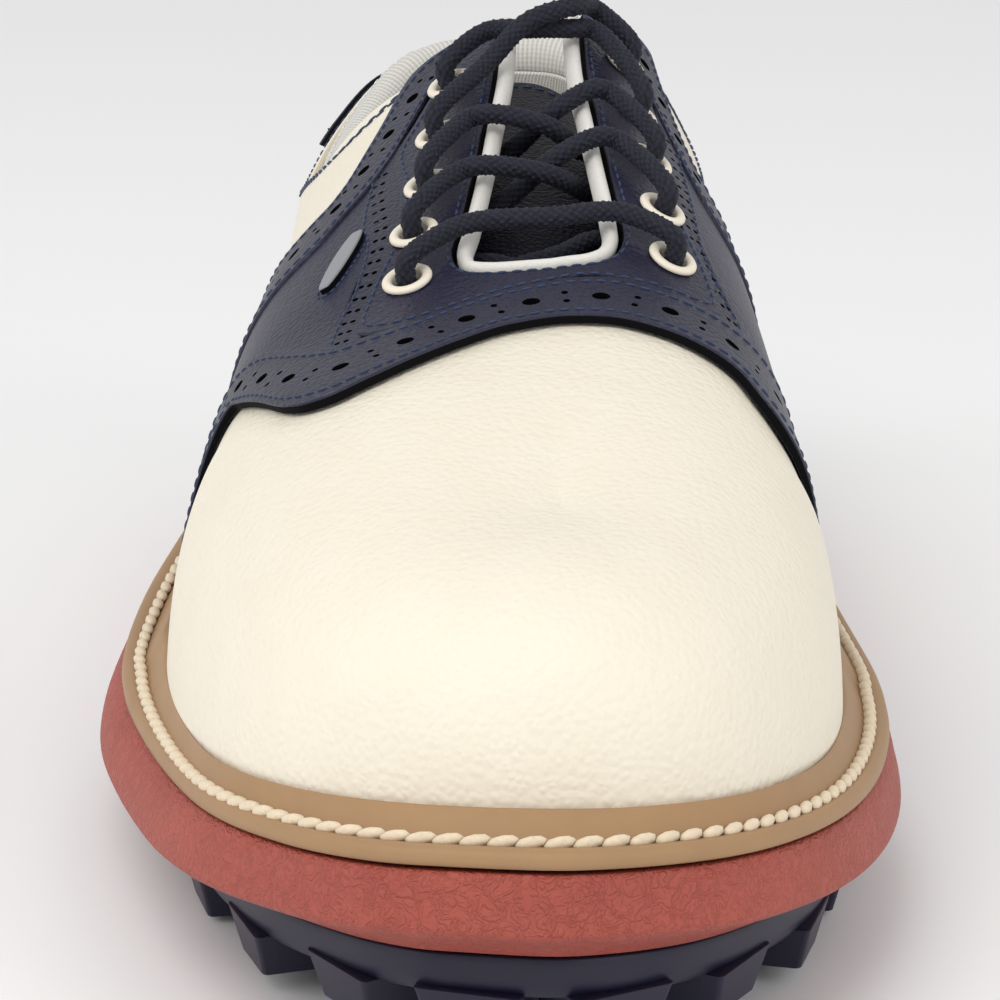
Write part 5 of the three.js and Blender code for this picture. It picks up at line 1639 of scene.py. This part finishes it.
def stacked(name, loop, profile, count, materials, rounds=2, across=14, sharp=50.0):
    """Closed body from rings; profile lists (z, grow, share) from its bottom to its top."""
    rings = soften(np.array([ring_points(loop, count, g, z, k) for z, g, k in profile]), rounds)
    m = len(rings)
    grid = np.arange(m * count).reshape(m, count)
    low, high = grid[:-1], grid[1:]
    side = np.stack([low, np.roll(low, -1, axis=1), np.roll(high, -1, axis=1), high], -1)
    points = list(rings.reshape(-1, 3))
    faces = side.reshape(-1, 4).tolist()
    for k, flip in ((0, False), (m - 1, True)):
        more, fill = cap_grid(rings[k], across, len(points), grid[k])
        points += list(more)
        faces += [f[::-1] if flip else f for f in fill]
    return make_piece(name, np.array(points), faces, materials, sharp=sharp)


print("ring helpers ready")

# %% [markdown]
# ### Midsole
# The midsole is one foam moulding. It is a stack of rings round the welt's outline, each with
# its own height and overhang, and that gives the ledge and the taper below it.

# %% Midsole
def ridge(s, side):
    front = mix(0.8, np.where(side < 0, 3.4, 1.8), smoothstep(5, 60, s))
    return mix(front, 2.2, smoothstep(200, 260, s))


def tread(s, side=0):
    return mix(-9.5, -6.5, smoothstep(10, 70, s))


midsole = stacked("midsole_foam", welt_edge, [
    (11.2, lambda s, k: tread(s) + 1.2, 0), (12.8, lambda s, k: tread(s) + 4.2, 0.1),
    (14.6, lambda s, k: ridge(s, k) - 1.2, 0.25), (15.6, lambda s, k: ridge(s, k) + 0.1, 0.33),
    (16.5, ridge, 0.4), (17.6, lambda s, k: ridge(s, k) - 0.2, 0.48),
    (19.0, lambda s, k: ridge(s, k) - 0.6, 0.6), (21.5, lambda s, k: 0.6 * ridge(s, k) - 0.4, 0.8),
    (23.5, -0.5, 0.98), (23.7, -0.9, 1), (23.7, -3.0, 1),
], 320, [red_midsole], rounds=1)
settle(midsole, SHOE, "midsole_foam", "midsole")
print("midsole:", len(midsole.data.polygons), "faces")

# %% [markdown]
# ### Tread
# The outsole is a thin plate with blocks of one shape under it. They repeat, so a third tree
# places them: round the edge facing outwards, and as diamonds under the ball and the heel.

# %% Lug and its tree
def lug_block():
    """One tread block: tapered, with rounded corners and a groove across its foot."""
    bm = bmesh.new()
    bmesh.ops.create_cube(bm, size=2.0)
    for v in bm.verts:
        k = 1.0 if v.co.z < 0 else 1.32
        v.co = (v.co.x * k, v.co.y * k, 0.0 if v.co.z < 0 else 6.6)
    bmesh.ops.bevel(bm, geom=bm.edges, offset=0.16, segments=3, affect="EDGES", profile=0.5)
    mesh = bpy.data.meshes.new("lug_block")
    bm.to_mesh(mesh)
    bm.free()
    return bpy.data.objects.new("lug_block", mesh)


def lug_tree():
    tree, given = new_tree("tread_blocks", [("Block", "Object", None), ("Rubber", "Material", None)])
    block = add(tree, "GeometryNodeObjectInfo", {"Object": given["Block"]})
    turned = add(tree, "FunctionNodeAxesToRotation",
                 {"Primary Axis": named(tree, "out"), "Secondary Axis": named(tree, "along")},
                 primary_axis="X", secondary_axis="Y")
    placed = add(tree, "GeometryNodeInstanceOnPoints",
                 {"Points": given["Geometry"], "Instance": block.outputs["Geometry"],
                  "Rotation": turned.outputs[0], "Scale": named(tree, "size")})
    finish_tree(tree, placed.outputs[0], given["Rubber"])
    return tree


print("lug tree ready")

# %% [markdown]
# ### Outsole plate
# The plate is a shallower stack of rings. The blocks are placed under it: a ring of them round
# the edge, and more under the ball of the foot and the heel.

# %% Outsole
PLATE_Z = 4.8
OUTSOLE_TOP_Z = 10.7
EDGE_LUGS = 24
INNER_LUGS = [
    (6, 50), (-9, 66), (20, 66), (-22, 88), (6, 84), (32, 86), (-8, 106), (18, 106), (-22, 126),
    (4, 128), (28, 128), (-10, 224), (11, 224), (-10, 252), (11, 252),
]
sole_plate = stacked("outsole_plate", welt_edge, [
    (PLATE_Z, lambda s, k: tread(s) - 3.0, 0), (PLATE_Z, lambda s, k: tread(s) - 1.8, 0),
    (5.2, lambda s, k: tread(s) - 1.0, 0), (6.6, tread, 0), (10.2, tread, 0),
    (OUTSOLE_TOP_Z, lambda s, k: tread(s) - 0.4, 0), (OUTSOLE_TOP_Z, lambda s, k: tread(s) - 2.0, 0),
], 240, [navy_outsole], rounds=1)
u, x, s, ox, os = welt_edge.half((2 * np.arange(EDGE_LUGS) + 1) / EDGE_LUGS)
inset = tread(s) - 6.2
lug_x = np.concatenate([x + ox * inset, [p[0] for p in INNER_LUGS]])
lug_s = np.concatenate([s + os * inset, [p[1] for p in INNER_LUGS]])
turn = math.sqrt(0.5)
inner = len(INNER_LUGS)
lug_out = np.stack([np.append(ox, [turn] * inner), np.append(os, [turn] * inner), 0 * lug_x], -1)
lug_along = np.stack([-lug_out[:, 1], lug_out[:, 0], 0 * lug_x], -1)
lug_size = np.array([(5.2, 5.6, 1.0)] * EDGE_LUGS + [(4.6, 4.6, 1.0)] * inner) * MM
lug_points = np.stack([lug_x, lug_s + TOE_Y, lift(lug_s, 0)], -1)
lug_source = marked_points("tread_points", lug_points, out=lug_out, along=lug_along, size=lug_size)
block = lug_block()
bpy.context.scene.collection.objects.link(block)
lug_mesh = run_tree(lug_source, lug_tree(), {"Block": block, "Rubber": navy_outsole})
bpy.data.objects.remove(lug_source)
bpy.data.objects.remove(block)
lug_mesh.set_sharp_from_angle(angle=math.radians(40))
tread_blocks = bpy.data.objects.new("tread_blocks", lug_mesh)
bpy.context.scene.collection.objects.link(tread_blocks)
settle(sole_plate, SHOE, "outsole_rubber", "outsole")
settle(tread_blocks, SHOE, "outsole_rubber")
print("tread:", len(lug_points), "blocks")

# %% [markdown]
# ### Welt
# The welt is a moulded strip with a lip, a groove for the stitching, and a bead that leans on
# the upper. The heavy cream lockstitch in the groove is the same seam tree as before, with its
# stitches longer than their pitch and slanted, so that they lie on each other like a rope.

# %% Welt
WELT_SECTION = np.array([
    (0, 24.2), (0.9, 24.2), (0.985, 24.5), (1, 25.3), (0.97, 26.3), (0.92, 26.75), (0.84, 26.95),
    (0.74, 27), (0.7, 26.7), (0.62, 26.1), (0.55, 26.6), (0.5, 27.3), (0.4, 28.2), (0.26, 29.6),
    (0.16, 30.7), (0.1, 31.0),
])
WELT_TOP_Z = 31.2
wall_h = np.linspace(0, 0.4, 200)


def wall_at(u, z):
    """Point of the upper at feather fraction u and height z."""
    heights = last(np.full_like(wall_h, u), wall_h)[:, 2]
    return last(u, np.interp(z, heights, wall_h))


def welt_room(s, x):
    """The bead leans on the vamp in front, and on the thinned saddle in the middle."""
    start = 104 if x < 0 else 96
    return 0.35 + 1.15 * (smoothstep(start, start + 8, s) - smoothstep(181, 190, s))


def welt_strip(count=360):
    u, x, s, ox, os = feather.half(np.arange(count) * 2 / count)
    _, ex, es, _, _ = welt_edge.half(np.arange(count) * 2 / count)
    sections, thread, thread_out = [], [], []
    for i in range(count):
        up = float(spring(s[i]) + wedge(s[i]))
        root = np.array([ox[i], os[i]]) * welt_room(s[i], x[i])
        low = wall_at(u[i], FEATHER_Z + up)[:2] + root
        high = wall_at(u[i], WELT_TOP_Z + up) + np.append(root, -0.5)
        edge = np.array([ex[i], es[i] + TOE_Y])

        def at(r, z):
            p = mix(low, edge, r)
            station = p[1] - TOE_Y
            return np.array([*p, z + float(spring(station) + wedge(station))])

        section = [at(r, z) for r, z in WELT_SECTION] + [high]
        sections.append(section)
        thread.append(at(0.62, 27.35))
        thread_out.append(unit(np.append((edge - low) * 0.25, 5.0)))
    grid = np.arange(count * len(section)).reshape(count, -1)
    after, beside = np.roll(grid, -1, axis=0), np.roll(grid, -1, axis=1)
    faces = np.stack([grid, after, np.roll(after, -1, axis=1), beside], -1).reshape(-1, 4)
    strip = make_piece("welt_strip", np.array(sections).reshape(-1, 3), faces, [tan_welt], sharp=60)
    thread.append(thread[0])
    thread_out.append(thread_out[0])
    return strip, (np.array(thread), np.array(thread_out))


welt, welt_line = welt_strip()
settle(welt, SHOE, "welt_rubber", "welt")
STITCH_PITCH = 3.6
rope = seam("welt_stitches", [welt_line], SHOE, "welt_thread", cream_thread, STITCH_PITCH,
            4.3, 1.75, 0.26)
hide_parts("welt_thread")
print("welt:", len(welt.data.polygons), "faces")

# %% [markdown]
# ### Footbed
# The loose footbed is a dished foam insert covered in the lining's fabric. It lifts out from the
# heel, so it rides on its own body.

# %% Footbed
footbed = stacked("footbed_insert", feather, [
    (26.6, -8.0, 1), (26.6, -6.6, 1), (27.2, -6.3, 1), (30.2, -6.0, 1), (32.6, -6.6, 1),
    (33.2, -7.4, 1), (33.1, -8.6, 1), (31.6, -12.0, 1), (30.4, -15.0, 1), (30.4, -17.0, 1),
], 200, [lining_knit], rounds=1)
uv = footbed.data.uv_layers.new(name="cloth")
corner = np.empty(len(footbed.data.loops), np.int32)
footbed.data.loops.foreach_get("vertex_index", corner)
flat = np.array([v.co[:2] for v in footbed.data.vertices])[corner] / MM
uv.data.foreach_set("uv", flat.ravel())
settle(footbed, "loose_footbed", "footbed", "footbed")
print("footbed:", len(footbed.data.polygons), "faces")

# %% [markdown]
# ## Hidden parts
# The shank, the toe puff, the heel counter and the insole board keep their CAD shapes. They only
# need the finish of what they are made of.

# %% Finishes of the hidden parts
for name, material in (("shank", spring_steel), ("toe_puff", fibreboard),
                       ("heel_counter", fibreboard), ("insole_board", fibreboard)):
    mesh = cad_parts[name].data
    mesh.materials.clear()
    mesh.materials.append(material)
print("hidden parts finished")

# %% [markdown]
# ## Floor and light
# The shoe stands on a pale floor under very soft light: a bright room all round, one large soft
# box above and in front, and two weaker ones from the sides.

# %% Floor
floor_mesh = bpy.data.meshes.new("floor")
corners = [(-3, -3, 0), (3, -3, 0), (3, 3, 0), (-3, 3, 0)]
floor_mesh.from_pydata(corners, [], [(0, 1, 2, 3)])
floor_material, _, floor_shader, _ = start_material("white_paper")
floor_shader.inputs["Base Color"].default_value = colour("#F6F6F6")
floor_shader.inputs["Roughness"].default_value = 0.8
floor_mesh.materials.append(floor_material)
floor = bpy.data.objects.new("floor", floor_mesh)
floor.location.z = -0.0002
bpy.context.scene.collection.objects.link(floor)
print("floor at", round(floor.location.z * 1000, 2), "mm")

# %% [markdown]
# ### Lights
# Three large discs and a bright room give soft shadows. Small lamps would give hard highlights
# on the leather.

# %% Lights
def soft_box(name, place, aim, size, watts):
    data = bpy.data.lights.new(name, "AREA")
    data.shape = "DISK"
    data.size = size
    data.energy = watts
    lamp = bpy.data.objects.new(name, data)
    lamp.location = place
    lamp.rotation_euler = (Vector(aim) - Vector(place)).to_track_quat("-Z", "Y").to_euler()
    bpy.context.scene.collection.objects.link(lamp)


world = bpy.data.worlds.new("studio")
world.use_nodes = True
world.node_tree.nodes["Background"].inputs["Color"].default_value = (1.0, 1.0, 1.0, 1.0)
world.node_tree.nodes["Background"].inputs["Strength"].default_value = 0.7
bpy.context.scene.world = world
soft_box("key", (-0.35, -0.75, 1.15), (0, -0.05, 0.05), 0.9, 6.1)
soft_box("side", (-1.0, -0.35, 0.55), (0, -0.02, 0.06), 0.6, 2.0)
soft_box("fill", (0.9, -0.7, 0.6), (0, -0.05, 0.05), 0.7, 2.6)
print("lights: key, side and fill, and a bright room")

# %% [markdown]
# ## End

# %% End
print("done")
